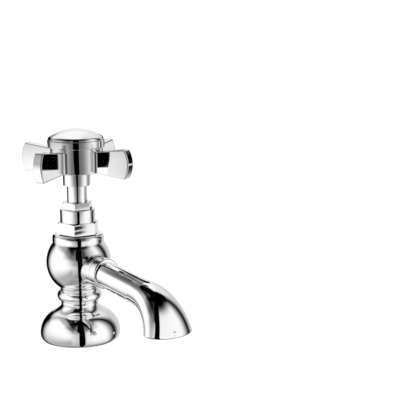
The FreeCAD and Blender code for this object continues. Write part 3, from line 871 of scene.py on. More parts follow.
class Tree:
    """A geometry node tree with named inputs."""

    def __init__(self, name: str, inputs: dict[str, tuple[str, object]]) -> None:
        """Makes the tree.

        Args:
            name: Its name.
            inputs: Each input's socket type and value, by name; Geometry is always the first.
        """
        self.tree = bpy.data.node_groups.new(name, "GeometryNodeTree")
        self.kit = NodeKit(self.tree)
        face = self.tree.interface
        face.new_socket("Geometry", in_out="INPUT", socket_type="NodeSocketGeometry")
        face.new_socket("Geometry", in_out="OUTPUT", socket_type="NodeSocketGeometry")
        self.values: dict[str, object] = {}
        for label, (kind, value) in inputs.items():
            socket = face.new_socket(label, in_out="INPUT", socket_type=kind)
            self.values[socket.identifier] = value
        self.source = self.tree.nodes.new("NodeGroupInput")

    def given(self, label: str) -> Sock:
        """One of the tree's inputs."""
        return Sock(self.kit, self.source.outputs[label])

    def finish(self, geometry: Sock) -> None:
        """Ends the tree with real geometry and a set material.

        Args:
            geometry: What the tree has made.
        """
        real = self.kit.add("GeometryNodeRealizeInstances", values={0: geometry})
        dressed = self.kit.add(
            "GeometryNodeSetMaterial", values={0: real, "Material": self.given("Finish")}
        )
        sink = self.tree.nodes.new("NodeGroupOutput")
        self.tree.links.new(dressed.source, sink.inputs[0])

    def run(self, start: bpy.types.Object, name: str) -> bpy.types.Object:
        """Runs the tree on an object and gives the result as a plain mesh object.

        Args:
            start: The object whose geometry goes in; it is used up.
            name: The result's name.

        Returns:
            The new object.
        """
        step = start.modifiers.new(self.tree.name, "NODES")
        step.node_group = self.tree
        for identifier, value in self.values.items():
            step[identifier] = value
        ready = start.evaluated_get(bpy.context.evaluated_depsgraph_get())
        mesh = bpy.data.meshes.new_from_object(ready)
        mesh.name = name
        drop(start)
        return linked(name, mesh)


def turn_copies(
    part: bpy.types.Object, name: str, count: int, finish: Finish
) -> bpy.types.Object:
    """Copies of a part set evenly round the tap's axis.

    Args:
        part: The part, in its place for the first copy.
        name: The result's name.
        count: How many there are.
        finish: Their finish.

    Returns:
        All the copies as one object.
    """
    tree = Tree(
        f"{name}_round_the_axis",
        {
            "Count": ("NodeSocketInt", count),
            "Finish": ("NodeSocketMaterial", finish.material()),
        },
    )
    kit = tree.kit
    points = kit.add("GeometryNodePoints", values={"Count": tree.given("Count")})
    index = kit.add("GeometryNodeInputIndex")
    angle = index * (2 * math.pi) / tree.given("Count")
    turn = kit.add("ShaderNodeCombineXYZ", values={2: angle})
    copies = kit.add(
        "GeometryNodeInstanceOnPoints",
        values={"Points": points, "Instance": tree.given("Geometry"), "Rotation": turn},
    )
    tree.finish(copies)
    return tree.run(part, name)


def thread(
    core: bpy.types.Object,
    name: str,
    radius: float,
    low: float,
    high: float,
    pitch: float,
    finish: Finish,
) -> bpy.types.Object:
    """Adds a screw thread round a core.

    Args:
        core: The plain piece that carries the thread.
        name: The result's name.
        radius: Radius of the thread's crest, in mm.
        low: Where it starts.
        high: Where it ends.
        pitch: Height of one turn.
        finish: Its finish.

    Returns:
        Core and thread as one object.
    """
    turns = (high - low) / pitch
    ridge_radius = pitch * 0.5
    turn_steps, ridge_sides, least_swelling = 72, 4, 0.05
    tree = Tree(
        f"{name}_thread",
        {
            "Turns": ("NodeSocketFloat", turns),
            "Radius": ("NodeSocketFloat", (radius - ridge_radius) * MM),
            "Height": ("NodeSocketFloat", (high - low) * MM),
            "Ridge": ("NodeSocketFloat", ridge_radius * MM),
            "Low": ("NodeSocketFloat", low * MM),
            "Finish": ("NodeSocketMaterial", finish.material()),
        },
    )
    kit = tree.kit
    coil = kit.add(
        "GeometryNodeCurveSpiral",
        values={
            "Resolution": turn_steps,
            "Rotations": tree.given("Turns"),
            "Start Radius": tree.given("Radius"),
            "End Radius": tree.given("Radius"),
            "Height": tree.given("Height"),
        },
    )
    along = kit.add("GeometryNodeSplineParameter")
    fade = (along * turns).least((1.0 - along) * turns).least(1.0).most(least_swelling)
    swelling = kit.add("GeometryNodeSetCurveRadius", values={"Curve": coil, "Radius": fade})
    ridge = kit.add(
        "GeometryNodeCurvePrimitiveCircle",
        values={"Resolution": ridge_sides, "Radius": tree.given("Ridge")},
    )
    swept = kit.add(
        "GeometryNodeCurveToMesh",
        values={"Curve": swelling, "Profile Curve": ridge, "Fill Caps": True},
    )
    offset = kit.add("ShaderNodeCombineXYZ", values={2: tree.given("Low")})
    raised = kit.add(
        "GeometryNodeTransform", values={"Geometry": swept, "Translation": offset}
    )
    both = tree.tree.nodes.new("GeometryNodeJoinGeometry")
    tree.tree.links.new(tree.given("Geometry").source, both.inputs[0])
    tree.tree.links.new(raised.source, both.inputs[0])
    tree.finish(Sock(kit, both.outputs[0]))
    return tree.run(core, name)


# Sub-assemblies


@dataclass
class Foot:
    """The bell on the deck and the rubber seal in it. Sizes are in mm, here and below."""

    foot_radius: float = 23.6
    foot_arc: float = 4.35
    wide_radius: float = 24.8
    wide_height: float = 3.0
    dome_radius: float = 16.6
    dome_height: float = 16.8
    dome_arc: float = 15.5
    cove_arc: float = 12.0
    top_radius: float = 11.1
    height: float = 21.3
    neck_hole: float = 8.6
    hollow_top: float = 15.8
    hollow_flat: float = 12.5
    hollow_arc: float = 16.0
    hollow_wide: float = 21.9
    recess_radius: float = 22.7
    recess_height: float = 2.6
    seal_radius: float = 22.5
    seal_hole: float = 12.0

    def build(self) -> None:
        """Makes the bell and the seal."""
        corners = [
            Corner(self.recess_radius, 0.0, soft=0.2),
            Corner(self.foot_radius, 0.0, soft=0.25, arc=self.foot_arc),
            Corner(self.wide_radius, self.wide_height, soft=1.0, arc=self.dome_arc),
            Corner(self.dome_radius, self.dome_height, soft=0.5, arc=-self.cove_arc),
            Corner(self.top_radius, self.height, soft=0.15),
            Corner(self.neck_hole, self.height),
            Corner(self.neck_hole, self.hollow_top),
            Corner(self.hollow_flat, self.hollow_top, arc=-self.hollow_arc),
            Corner(self.hollow_wide, self.recess_height),
            Corner(self.recess_radius, self.recess_height),
        ]
        bell = lathe("bell", corners, steps=256)
        settle(bell, CAST_CHROME, Body.FIXED, "bell_base")
        softs = (0.3, 0.4, 0.4, 0.3)
        ring = band(self.seal_hole, self.seal_radius, 0.0, self.recess_height, softs)
        settle(lathe("seal", ring, steps=128), RUBBER, Body.FIXED, "base_seal")


@dataclass
class Tail:
    """The threaded tail, its washer and its nut under the deck."""

    crest: float = 10.48
    core: float = 9.58
    bottom: float = -48.0
    lead_radius: float = 9.08
    lead_height: float = 0.8
    thread_low: float = -46.8
    thread_top: float = -2.0
    runout: float = 1.0  # from the thread's end to the plain stretch
    shoulder: float = 15.8
    top: float = 29.5
    neck: float = 8.5
    bore: float = 6.5
    pitch: float = 1.814
    groove_low: float = -27.5
    groove_top: float = -26.5
    washer_radius: float = 18.5
    washer_hole: float = 10.55
    washer_top: float = -17.0
    washer_low: float = -19.0
    nut_flats: float = 30.0
    nut_hole: float = 10.53
    nut_low: float = -26.0
    nut_drop: float = 0.8
    nut_round: float = 0.4

    def build(self) -> None:
        """Makes the tail, the backing washer and the back nut."""
        corners = [
            Corner(self.bore, self.bottom, soft=0.3),
            Corner(self.lead_radius, self.bottom, soft=0.3),
            Corner(self.core, self.bottom + self.lead_height, soft=0.2),
            Corner(self.core, self.thread_top, soft=0.2),
            Corner(self.crest, self.thread_top + self.runout, soft=0.2),
            Corner(self.crest, self.shoulder, soft=0.3),
            Corner(self.neck, self.shoulder),
            Corner(self.neck, self.top, soft=0.3),
            Corner(self.bore, self.top, soft=0.2),
        ]
        tail = lathe("tail_core", corners, steps=128)
        stretches = ((self.thread_low, self.groove_low), (self.groove_top, self.thread_top))
        for low, high in stretches:
            tail = thread(tail, "tail", self.crest, low, high, self.pitch, BRASS)
        settle(tail, BRASS, Body.FIXED, "inlet_tail")
        softs = (0.25, 0.5, 0.5, 0.25)
        ring = band(
            self.washer_hole, self.washer_radius, self.washer_low, self.washer_top, softs
        )
        washer = lathe("washer_under_deck", ring, steps=128)
        settle(washer, NYLON, Body.FIXED, "backing_washer")
        nut = Hexagon(
            self.nut_flats,
            self.nut_low,
            self.washer_low,
            self.nut_hole,
            drop=self.nut_drop,
            drop_low=self.nut_drop,
            corner_round=self.nut_round,
        )
        settle(nut.build("nut_under_deck"), BRASS, Body.FIXED, "back_nut")


def dome_arc(radius: float, rise: float) -> float:
    """The arc radius of a dome with a given foot radius and rise."""
    return (radius**2 + rise**2) / (2 * rise)


@dataclass
class Ball:
    """The cast body: collar, bead, ball and flange, with the two bosses and the rear plug."""

    radius: float = 19.9
    centre: float = 48.2
    wall: float = 3.3
    axis_height: float = 46.1
    low: float = 21.3
    step_radius: float = 11.5
    step_top: float = 22.7
    neck: float = 11.0
    bead_low: float = 23.7
    bead_top: float = 30.5
    bead_bulge: float = 2.75
    lip: float = 11.8
    lip_low: float = 30.9
    flange: float = 15.8
    shoulder: float = 2.5  # rounding of the flange's top edge
    crease: float = 0.45  # how far the line between ball and flange is cut in
    crease_height: float = 0.2
    top: float = 66.1
    throat: float = 9.6
    floor_drop: float = 11.2
    seat_radius: float = 8.5
    seat_low: float = 33.0
    inlet: float = 6.9
    socket_radius: float = 8.6
    socket_top: float = 30.0
    boss: float = 9.2
    blend: float = 1.1  # radius of the fillet between boss and ball
    boss_edge: float = 0.25
    root_depth: float = 0.6  # how far the fillet's end goes into the ball's wall
    boss_steps: int = 160
    front_reach: float = 24.8
    front_hole: float = 7.25
    front_depth: float = 7.2
    rear_reach: float = 21.5
    rear_hole: float = 6.55
    rear_depth: float = 5.0
    plug_thread: float = 6.5
    plug_length: float = 5.5
    plug_rim: float = 1.0
    plug_rise: float = 2.0

    def shell(self) -> bpy.types.Object:
        """The turned part of the body, hollow.

        Returns:
            The object.
        """
        half_bead = (self.bead_top - self.bead_low) / 2
        lip_top = self.centre - math.sqrt(self.radius**2 - self.lip**2)
        crease = self.flange - self.crease
        crease_top = self.centre + math.sqrt(self.radius**2 - crease**2)
        chamber = self.radius - self.wall
        floor = self.centre - self.floor_drop
        floor_radius = math.sqrt(chamber**2 - self.floor_drop**2)
        chamber_top = self.centre + math.sqrt(chamber**2 - self.throat**2)
        corners = [
            Corner(self.socket_radius, self.low),
            Corner(self.step_radius, self.low, soft=0.25),
            Corner(self.step_radius, self.step_top, soft=0.3),
            Corner(self.neck, self.bead_low, soft=0.25, arc=dome_arc(half_bead, self.bead_bulge)),
            Corner(self.neck, self.bead_top, soft=0.25),
            Corner(self.lip, self.lip_low, soft=0.25),
            Corner(self.lip, lip_top, soft=0.3, arc=self.radius),
            Corner(crease, crease_top, soft=0.15),
            Corner(self.flange, crease_top + self.crease_height, soft=0.3),
            Corner(self.flange, self.top, soft=self.shoulder),
            Corner(self.throat, self.top, soft=0.3),
            Corner(self.throat, chamber_top, arc=-chamber),
            Corner(floor_radius, floor),
            Corner(self.seat_radius, floor),
            Corner(self.seat_radius, self.seat_low),
            Corner(self.inlet, self.seat_low),
            Corner(self.inlet, self.socket_top),
            Corner(self.socket_radius, self.socket_top),
        ]
        return lathe("ball_shell", corners, steps=256)

    def boss_column(
        self, angle: float, toward: float, reach: float, hole: float, depth: float
    ) -> Ring:
        """One line along a boss, from its hole over its face to inside the ball's wall.

        Args:
            angle: Where it is round the boss, in radians from the top.
            toward: -1 for the front boss, 1 for the rear one.
            reach: The boss's face from the tap's axis.
            hole: Radius of the hole in it.
            depth: Depth of that hole.

        Returns:
            The points, in mm.
        """
        ball = Vector((0, 0, self.centre))
        middle = Vector((0, 0, self.axis_height))
        side = Vector((math.sin(angle), 0, math.cos(angle)))
        hub = middle + side * (self.boss + self.blend)
        hub.y = toward * math.sqrt((self.radius + self.blend) ** 2 - (hub - ball).length_squared)
        to_ball = (ball - hub).normalized()
        sweep = math.acos(max(-1.0, min(1.0, (-side).dot(to_ball))))
        edge, support, blend_steps = self.boss_edge, 0.4, 8
        rounds = quarter_round(4)
        line: list[Point] = [(hole, y) for y in (reach - depth, reach - support, reach - edge)]
        line += [(hole + edge * out, reach - edge * down) for out, down in rounds[1:]]
        line += [(hole + edge + SUPPORT_MM, reach), (self.boss - edge - SUPPORT_MM, reach)]
        line += [(self.boss - edge * out, reach - edge * down) for out, down in rounds[::-1]]
        blend_end = abs(hub.y) + 0.05
        line += [(self.boss, reach - edge - SUPPORT_MM), (self.boss, blend_end)]
        column = [middle + side * r + Vector((0, toward * y, 0)) for r, y in line]
        for share in (n / blend_steps for n in range(blend_steps + 1)):
            way = -side * math.sin((1 - share) * sweep) + to_ball * math.sin(share * sweep)
            column.append(hub + way / math.sin(sweep) * self.blend)
        inward = (ball - column[-1]).normalized()
        return [*column, column[-1] + inward * self.root_depth]

    def boss_piece(
        self, name: str, toward: float, reach: float, hole: float, depth: float
    ) -> bpy.types.Object:
        """One boss, blended into the ball with a rolling fillet.

        Args:
            name: The object's name.
            toward: -1 for the front boss, 1 for the rear one.
            reach: Its face from the tap's axis.
            hole: Radius of the hole in it.
            depth: Depth of that hole.

        Returns:
            The object.
        """
        angles = [2 * math.pi * n / self.boss_steps for n in range(self.boss_steps)]
        columns = [self.boss_column(angle, toward, reach, hole, depth) for angle in angles]
        rings = [[point * MM for point in ring] for ring in zip(*columns)]
        return mesh_object(name, *skin(rings, True))

    def build(self) -> None:
        """Makes the body and the plug."""
        front = self.boss_piece(
            "front_boss", -1.0, self.front_reach, self.front_hole, self.front_depth
        )
        rear = self.boss_piece("rear_boss", 1.0, self.rear_reach, self.rear_hole, self.rear_depth)
        body = joined("ball", self.shell(), front, rear)
        settle(body, CAST_CHROME, Body.FIXED, "ball_body")
        rim = self.plug_length + self.plug_rim
        corners = [
            Corner(0.0, 0.0),
            Corner(self.plug_thread, 0.0, soft=0.3),
            Corner(self.plug_thread, self.plug_length),
            Corner(self.boss, self.plug_length, soft=0.2),
            Corner(self.boss, rim, soft=0.5, arc=dome_arc(self.boss, self.plug_rise)),
            Corner(0.0, rim + self.plug_rise),
        ]
        foot = (0.0, self.rear_reach - self.plug_length, self.axis_height)
        plug = lathe("plug", corners, steps=128, axis=Axis.REAR, foot=foot, closed=False)
        settle(plug, CAST_CHROME, Body.FIXED, "rear_plug")


@dataclass
class Spout:
    """The spout: collar, straight tube, bend and flared mouth, hollow throughout."""

    face: float = 24.8
    axis_height: float = 46.1
    root: float = 26.0  # where the tube's centre line starts
    slope_deg: float = 5.2
    run: float = 44.0
    bend: float = 23.0
    end_deg: float = 75.8
    tilt_deg: float = 14.2  # further turn of the mouth's plane
    tube: float = 7.9
    mouth_depth: float = 11.2
    mouth_shift: float = 0.5
    mouth_width: float = 14.9
    flare_start: float = 35.2
    flare_power: float = 1.2
    wall: float = 1.6
    mouth_wall: float = 1.4
    collar_radius: float = 9.2
    collar_length: float = 5.7
    collar_bore: float = 7.0
    collar_cone_low: float = 4.0
    spigot_radius: float = 7.2
    spigot_length: float = 7.2
    bore: float = 5.4
    groove_radius: float = 6.1
    groove_low: float = -4.4
    groove_top: float = -2.9
    face_gap: float = 0.05  # between the boss and the collar
    rim_length: float = 0.75
    steps: int = 128

    def total(self) -> float:
        """Length of the centre line."""
        return self.run + self.bend * math.radians(self.end_deg - self.slope_deg)

    def station(self, way: float, inset: float, past: float = 0.0) -> Ring:
        """One oval ring of the spout.

        Args:
            way: How far along the centre line.
            inset: How far inside the outer surface, in mm.
            past: A shift along the spout's direction.

        Returns:
            The ring, in metres.
        """
        slope = math.radians(self.slope_deg)
        angle = slope
        straight = min(way, self.run)
        reach = self.root + straight * math.cos(slope)
        level = self.axis_height - straight * math.sin(slope)
        if way > self.run:
            angle = slope + (way - self.run) / self.bend
            reach += self.bend * (math.sin(angle) - math.sin(slope))
            level -= self.bend * (math.cos(slope) - math.cos(angle))
        share = min(max((way - self.flare_start) / (self.total() - self.flare_start), 0.0), 1.0)
        share = share**self.flare_power
        depth = self.tube + (self.mouth_depth - self.tube) * share - inset
        width = self.tube + (self.mouth_width - self.tube) * share - inset
        turn = angle + math.radians(self.tilt_deg) * share
        reach += past * math.cos(turn)
        level -= past * math.sin(turn)
        up = Vector((0, -math.sin(turn), math.cos(turn)))
        centre = Vector((0, -reach, level)) - up * self.mouth_shift * share
        around = [2 * math.pi * number / self.steps for number in range(self.steps)]
        return [
            (centre + Vector((width * math.cos(a), 0, 0)) + up * depth * math.sin(a)) * MM
            for a in around
        ]

    def tube_piece(self) -> bpy.types.Object:
        """The tube with its inside and its rounded rim.

        Returns:
            The object.
        """
        total, along_steps, rim_steps = self.total(), 110, 12
        outer = [total * n / along_steps for n in range(along_steps + 1)]
        rim_start = total - self.rim_length
        outer = [way for way in outer if way < rim_start - self.face_gap] + [rim_start]
        rings = [self.station(way, 0.0) for way in outer]
        half = self.mouth_wall / 2
        for t in (math.pi * n / rim_steps for n in range(rim_steps + 1)):
            rings.append(
                self.station(total, half * (1 - math.cos(t)), (math.sin(t) - 1.0) * half)
            )
        thinning = (self.mouth_wall - self.wall) / total
        rings += [self.station(way, self.wall + thinning * way) for way in reversed(outer)]
        return mesh_object("spout_tube", *skin(rings, True))

    def build(self) -> None:
        """Makes the spout."""
        corners = [
            Corner(self.bore, -self.spigot_length),
            Corner(self.spigot_radius, -self.spigot_length, soft=0.3),
            Corner(self.spigot_radius, self.groove_low),
            Corner(self.groove_radius, self.groove_low),
            Corner(self.groove_radius, self.groove_top),
            Corner(self.spigot_radius, self.groove_top),
            Corner(self.spigot_radius, self.face_gap),
            Corner(self.collar_radius, self.face_gap, soft=0.25),
            Corner(self.collar_radius, self.collar_length, soft=1.0),
            Corner(self.collar_bore, self.collar_length),
            Corner(self.bore, self.collar_cone_low),
        ]
        foot = (0.0, -self.face, self.axis_height)
        collar = lathe("spout_collar", corners, steps=160, axis=Axis.FRONT, foot=foot)
        spout = joined("spout_body", self.tube_piece(), collar)
        settle(spout, CAST_CHROME, Body.FIXED, "spout")


@dataclass
class Headwork:
    """The bonnet and the gland nut that hold the spindle."""

    flats: float = 23.1
    hex_low: float = 66.5
    hex_high: float = 73.8
    neck_low: float = 70.5
    neck_top: float = 81.5
    neck_radius: float = 10.7
    packing_bore: float = 7.9
    barrel_low: float = 53.6
    barrel_radius: float = 9.5
    screw_bore: float = 7.25
    gland_flats: float = 16.5
    gland_drop: float = 0.45
    gland_top: float = 86.0
    gland_low: float = 76.5
    gland_spigot: float = 7.85
    stem_hole: float = 6.15
    joint: float = 0.05  # between the bonnet and the gland nut
    overlap: float = 0.1  # how far a plain stretch goes into its hexagon

    def build(self) -> None:
        """Makes the bonnet and the gland nut."""
        hexagon = Hexagon(self.flats, self.hex_low, self.hex_high, self.screw_bore)
        ring = band(
            self.packing_bore, self.neck_radius, self.neck_low, self.neck_top, (0.0, 0.0, 0.35, 0.2)
        )
        neck = lathe("bonnet_neck", ring, steps=224)
        barrel_top = self.hex_low + self.overlap
        ring = band(
            self.screw_bore, self.barrel_radius, self.barrel_low, barrel_top, (0.0, 0.4, 0.0, 0.0)
        )
        barrel = lathe("bonnet_barrel", ring, steps=128)
        bonnet = joined("headwork", hexagon.build("bonnet_hex"), neck, barrel)
        settle(bonnet, TURNED_CHROME, Body.FIXED, "bonnet")
        low = self.neck_top + self.joint
        nut = Hexagon(self.gland_flats, low, self.gland_top, self.stem_hole, drop=self.gland_drop)
        spigot_top = self.neck_top + self.overlap
        ring = band(self.stem_hole, self.gland_spigot, self.gland_low, spigot_top)
        spigot = lathe("gland_spigot", ring, steps=96)
        gland = joined("gland", nut.build("gland_hex"), spigot)
        settle(gland, TURNED_CHROME, Body.FIXED, "gland_nut")


@dataclass
class Stem:
    """The spindle and the collar under the handle."""

    stem: float = 6.1
    socket: float = 3.05
    low: float = 49.0
    foot_radius: float = 5.5
    foot_top: float = 51.5
    screw_core: float = 6.5
    screw_crest: float = 7.2
    screw_top: float = 61.0
    thread_low: float = 51.8
    thread_top: float = 60.9
    screw_pitch: float = 2.0
    neck_low: float = 61.4
    drum_low: float = 104.3
    square: float = 8.2
    square_height: float = 9.0
    square_edge: float = 0.4
    collar: float = 8.3
    collar_low: float = 96.0
    collar_gap: float = 0.05  # between the stem and the collar
    stem_joint: float = 0.02  # between the stem and the drum
    collar_joint: float = 0.03  # between the collar and the drum

    def drive(self) -> bpy.types.Object:
        """The square end of the spindle, its edges rounded.

        Returns:
            The object.
        """
        work = bmesh.new()
        bmesh.ops.create_cube(work, size=1.0)
        for v in work.verts:
            up = self.drum_low + (v.co.z + 0.5) * self.square_height
            v.co = Vector((v.co.x * self.square, v.co.y * self.square, up)) * MM
        edge = self.square_edge * MM
        bmesh.ops.bevel(
            work, geom=work.edges[:], offset=edge, segments=3, profile=0.5, affect="EDGES"
        )
        mesh = bpy.data.meshes.new("drive")
        work.to_mesh(mesh)
        work.free()
        smooth(mesh)
        return linked("drive", mesh)

    def build(self) -> None:
        """Makes the spindle and the collar."""
        stem_top = self.drum_low - self.stem_joint
        corners = [
            Corner(self.socket, self.low),
            Corner(self.foot_radius, self.low, soft=0.3),
            Corner(self.foot_radius, self.foot_top),
            Corner(self.screw_core, self.foot_top, soft=0.2),
            Corner(self.screw_core, self.screw_top, soft=0.2),
            Corner(self.stem, self.neck_low),
            Corner(self.stem, stem_top),
            Corner(self.socket, stem_top),
        ]
        shaft = joined("stem_plain", lathe("stem_shaft", corners, steps=160), self.drive())
        low, high = self.thread_low, self.thread_top
        spindle = thread(
            shaft, "stem", self.screw_crest, low, high, self.screw_pitch, TURNED_CHROME
        )
        settle(spindle, TURNED_CHROME, Body.HANDLE, "spindle")
        inner, top = self.stem + self.collar_gap, self.drum_low - self.collar_joint
        ring = band(inner, self.collar, self.collar_low, top, (0.1, 0.35, 0.0, 0.0))
        settle(lathe("collar", ring, steps=192), HANDLE_CHROME, Body.HANDLE, "handle_collar")


@dataclass
class Handle:
    """The drum with four arms, and the cap that closes it."""

    drum: float = 16.0
    drum_low: float = 104.3
    drum_top: float = 119.5
    hole: float = 5.8
    web_top: float = 113.5
    well: float = 9.0
    thread_radius: float = 13.5
    thread_gap: float = 0.1
    thread_low: float = 116.0
    skirt_joint: float = 0.05  # between the drum and the skirt
    arm_deg: float = 22.2  # direction of the first arm
    arm_thick: float = 6.0
    arm_start: float = 11.0
    arm_reach: float = 38.8
    bulge: float = 2.6
    root_height: float = 11.9
    tip_height: float = 17.6
    middle: float = 111.2
    root_blend: float = 2.2
    edge: float = 0.65
    least_edge: float = 0.05
    edge_steps: int = 6
    arms: int = 4
    skirt_radius: float = 17.2
    skirt_bore: float = 11.5
    skirt_top: float = 124.0
    cap_low: float = 120.2
    cap_spigot: float = 11.4
    cap_foot: float = 124.02
    cap_radius: float = 16.7
    cap_rim: float = 125.4
    cap_rise: float = 5.1

    def half_height(self, x: float) -> float:
        """Half of an arm's height.

        Args:
            x: The distance from the axis.

        Returns:
            The half height there.
        """
        end = self.arm_reach - self.bulge
        share = min((x - self.arm_start) / (end - self.arm_start), 1.0)
        return (self.root_height + (self.tip_height - self.root_height) * share) / 2

    def blend_start(self) -> float:
        """Distance from the axis at which an arm starts to widen into the drum."""
        centre = self.arm_thick / 2 + self.root_blend
        return math.sqrt((self.drum + self.root_blend) ** 2 - centre**2)

    def half_thickness(self, x: float) -> float:
        """Half of an arm's thickness, wider where it blends into the drum.

        Args:
            x: The distance from the axis.

        Returns:
            The half thickness there.
        """
        half, start = self.arm_thick / 2, self.blend_start()
        if x >= start:
            return half
        inward = math.sqrt(max(self.root_blend**2 - (x - start) ** 2, 0.0))
        return half + self.root_blend - inward

    def bulge_at(self, z: float) -> float:
        """How far an arm's end stands out.

        Args:
            z: The height from the arm's middle.

        Returns:
            The distance past the end's upper and lower corner.
        """
        radius = dome_arc(self.tip_height / 2, self.bulge)
        return math.sqrt(max(radius**2 - z**2, 0.0)) - (radius - self.bulge)

    def section(self, x: float, inset: float, bulge_share: float) -> Ring:
        """One rounded oblong ring of an arm.

        Args:
            x: Distance from the axis, at the arm's upper and lower edge.
            inset: How far inside the arm's surface.
            bulge_share: How much of the end's bulge is added.

        Returns:
            The ring, in mm, for an arm along +X.
        """
        half_y = self.half_thickness(x) - inset
        half_z = self.half_height(x) - inset
        edge = max(self.edge - inset, self.least_edge)
        steps, straight = 14, half_z - edge - SUPPORT_MM
        quarter = [(half_y, straight * n / steps) for n in range(steps + 1)]
        for out, down in quarter_round(self.edge_steps):
            quarter.append((half_y - edge * out, half_z - edge * down))
        quarter += [(half_y - edge - SUPPORT_MM, half_z), ((half_y - edge) / 2, half_z)]
        loop = [
            *quarter,
            (0.0, half_z),
            *((-y, z) for y, z in reversed(quarter)),
            *((-y, -z) for y, z in quarter[1:]),
            (0.0, -half_z),
            *((y, -z) for y, z in reversed(quarter[1:])),
        ]
        return [
            Vector((x + bulge_share * self.bulge_at(z), y, self.middle + z)) for y, z in loop
        ]

    def arm(self) -> bpy.types.Object:
        """One arm, along the first arm's direction.

        Returns:
            The object.
        """
        far = self.blend_start()
        touch = far * self.drum / (self.drum + self.root_blend)
        end = self.arm_reach - self.bulge
        flat_end, flat_steps = end - self.edge, 18
        xs = [far - (far - touch) * share for share, _ in quarter_round(12)[::-1]]
        xs += [far + (flat_end - far) * n / flat_steps for n in range(1, flat_steps)]
        xs.append(flat_end - SUPPORT_MM)
        rings = [self.section(x, 0.0, max((x - far) / (end - far), 0.0) ** 3) for x in xs]
        for out, down in quarter_round(self.edge_steps):
            back = Vector((self.edge * down, 0.0, 0.0))
            ring = self.section(end, self.edge * out, 1.0)
            rings.append([point - back for point in ring])
        rings.append(self.section(end, self.edge + SUPPORT_MM, 1.0))
        turn = Matrix.Rotation(math.radians(self.arm_deg), 3, "Z")
        points, faces = skin([[turn @ v * MM for v in ring] for ring in rings], False)
        self.close(faces, len(rings) - 1, len(rings[0]))
        self.close(faces, 0, len(rings[0]))
        return mesh_object("arm", points, faces)

    @staticmethod
    def close(faces: list[tuple[int, ...]], ring: int, count: int) -> None:
        """Closes one end of an arm with strips across its thickness.

        Args:
            faces: The arm's faces, which the strips are added to.
            ring: Number of the ring at that end.
            count: Points in a ring.
        """
        base, half = ring * count, count // 2
        strips = half // 2 + 1
        for side in (1, -1):
            right = [base + (side * n) % count for n in range(strips)]
            left = [base + half - side * n for n in range(strips)]
            for a, b, c, d in zip(right, right[1:], left[1:], left):
                faces.append((a, b, d) if b == c else (a, b, c, d))

    def build(self) -> None:
        """Makes the cross, the skirt and the cap."""
        joint = self.drum_top - self.skirt_joint
        thread_hole = self.thread_radius + self.thread_gap
        corners = [
            Corner(self.hole, self.drum_low, soft=0.1),
            Corner(self.drum, self.drum_low, soft=0.5),
            Corner(self.drum, joint, soft=0.2),
            Corner(thread_hole, joint),
            Corner(thread_hole, self.thread_low),
            Corner(self.well, self.thread_low),
            Corner(self.well, self.web_top),
            Corner(self.hole, self.web_top),
        ]
        drum = lathe("drum", corners, steps=256)
        arms = turn_copies(self.arm(), "arms", self.arms, HANDLE_CHROME)
        settle(joined("cross", drum, arms), HANDLE_CHROME, Body.HANDLE, "cross_handle")
        corners = [
            Corner(self.skirt_bore, self.thread_low),
            Corner(self.thread_radius, self.thread_low, soft=0.2),
            Corner(self.thread_radius, self.drum_top),
            Corner(self.skirt_radius, self.drum_top, soft=0.45),
            Corner(self.skirt_radius, self.skirt_top, soft=0.45),
            Corner(self.skirt_bore, self.skirt_top),
        ]
        settle(lathe("skirt", corners, steps=256), HANDLE_CHROME, Body.HANDLE, "cap_skirt")
        dome = dome_arc(self.cap_radius, self.cap_rise)
        corners = [
            Corner(0.0, self.cap_low),
            Corner(self.cap_spigot, self.cap_low, soft=0.2),
            Corner(self.cap_spigot, self.cap_foot),
            Corner(self.cap_radius, self.cap_foot, soft=0.3),
            Corner(self.cap_radius, self.cap_rim, soft=1.2, arc=dome),
            Corner(0.0, self.cap_rim + self.cap_rise),
        ]
        cap = lathe("cap", corners, steps=256, closed=False)
        settle(cap, HANDLE_CHROME, Body.HANDLE, "dome_cap")


@dataclass
class Inside:
    """The pieces inside the tap, which keep their shape and get their finish."""

    finishes: dict[str, Finish] = field(
        default_factory=lambda: {
            "valve_seat": BRASS,
            "spout_o_ring": RUBBER,
            "bonnet_gasket": FIBRE,
            "gland_packing": FIBRE,
            "gland_ring": BRASS,
            "jumper": BRASS,
            "tap_washer": RUBBER,
            "washer_nut": BRASS,
            "spring_washer": STEEL,
            "handle_screw": STEEL,
        }
    )

    def build(self) -> None:
        """Gives each inner node its material."""
        for name, finish in self.finishes.items():
            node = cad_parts[name]
            node.data.materials.clear()
            node.data.materials.append(finish.material())
            LOG.info("%s: dressed", name)


# Studio


@dataclass
class Place:
    """The place on a stage card that a ray meets, for working out the card's look.

    Attributes:
        kit: The node kit of the card's material.
        across: How far it is to the right of the tap's axis, in mm.
        ahead: How far it is from the axis towards the camera, in mm.
        up: Its height over the deck, in mm.
    """

    kit: NodeKit
    across: Sock
    ahead: Sock
    up: Sock

    def behind(self) -> Sock:
        """1 where the ray meets the card's back, else 0."""
        return self.kit.add("ShaderNodeNewGeometry", out="Backfacing")

    def off_line(self, start: Point, end: Point) -> Sock:
        """How far the place is from a line, seen from above.

        Args:
            start: Where the line starts, as (across, ahead).
            end: Where it ends.

        Returns:
            The distance past its side or its end, whichever is greater, in mm.
        """
        run, rise = end[0] - start[0], end[1] - start[1]
        length = math.hypot(run, rise)
        across, ahead = self.across - start[0], self.ahead - start[1]
        along = (across * run + ahead * rise) / length
        side = (across * rise - ahead * run) / length
        return abs(side).most(abs(along - along.most(0.0).least(length)))


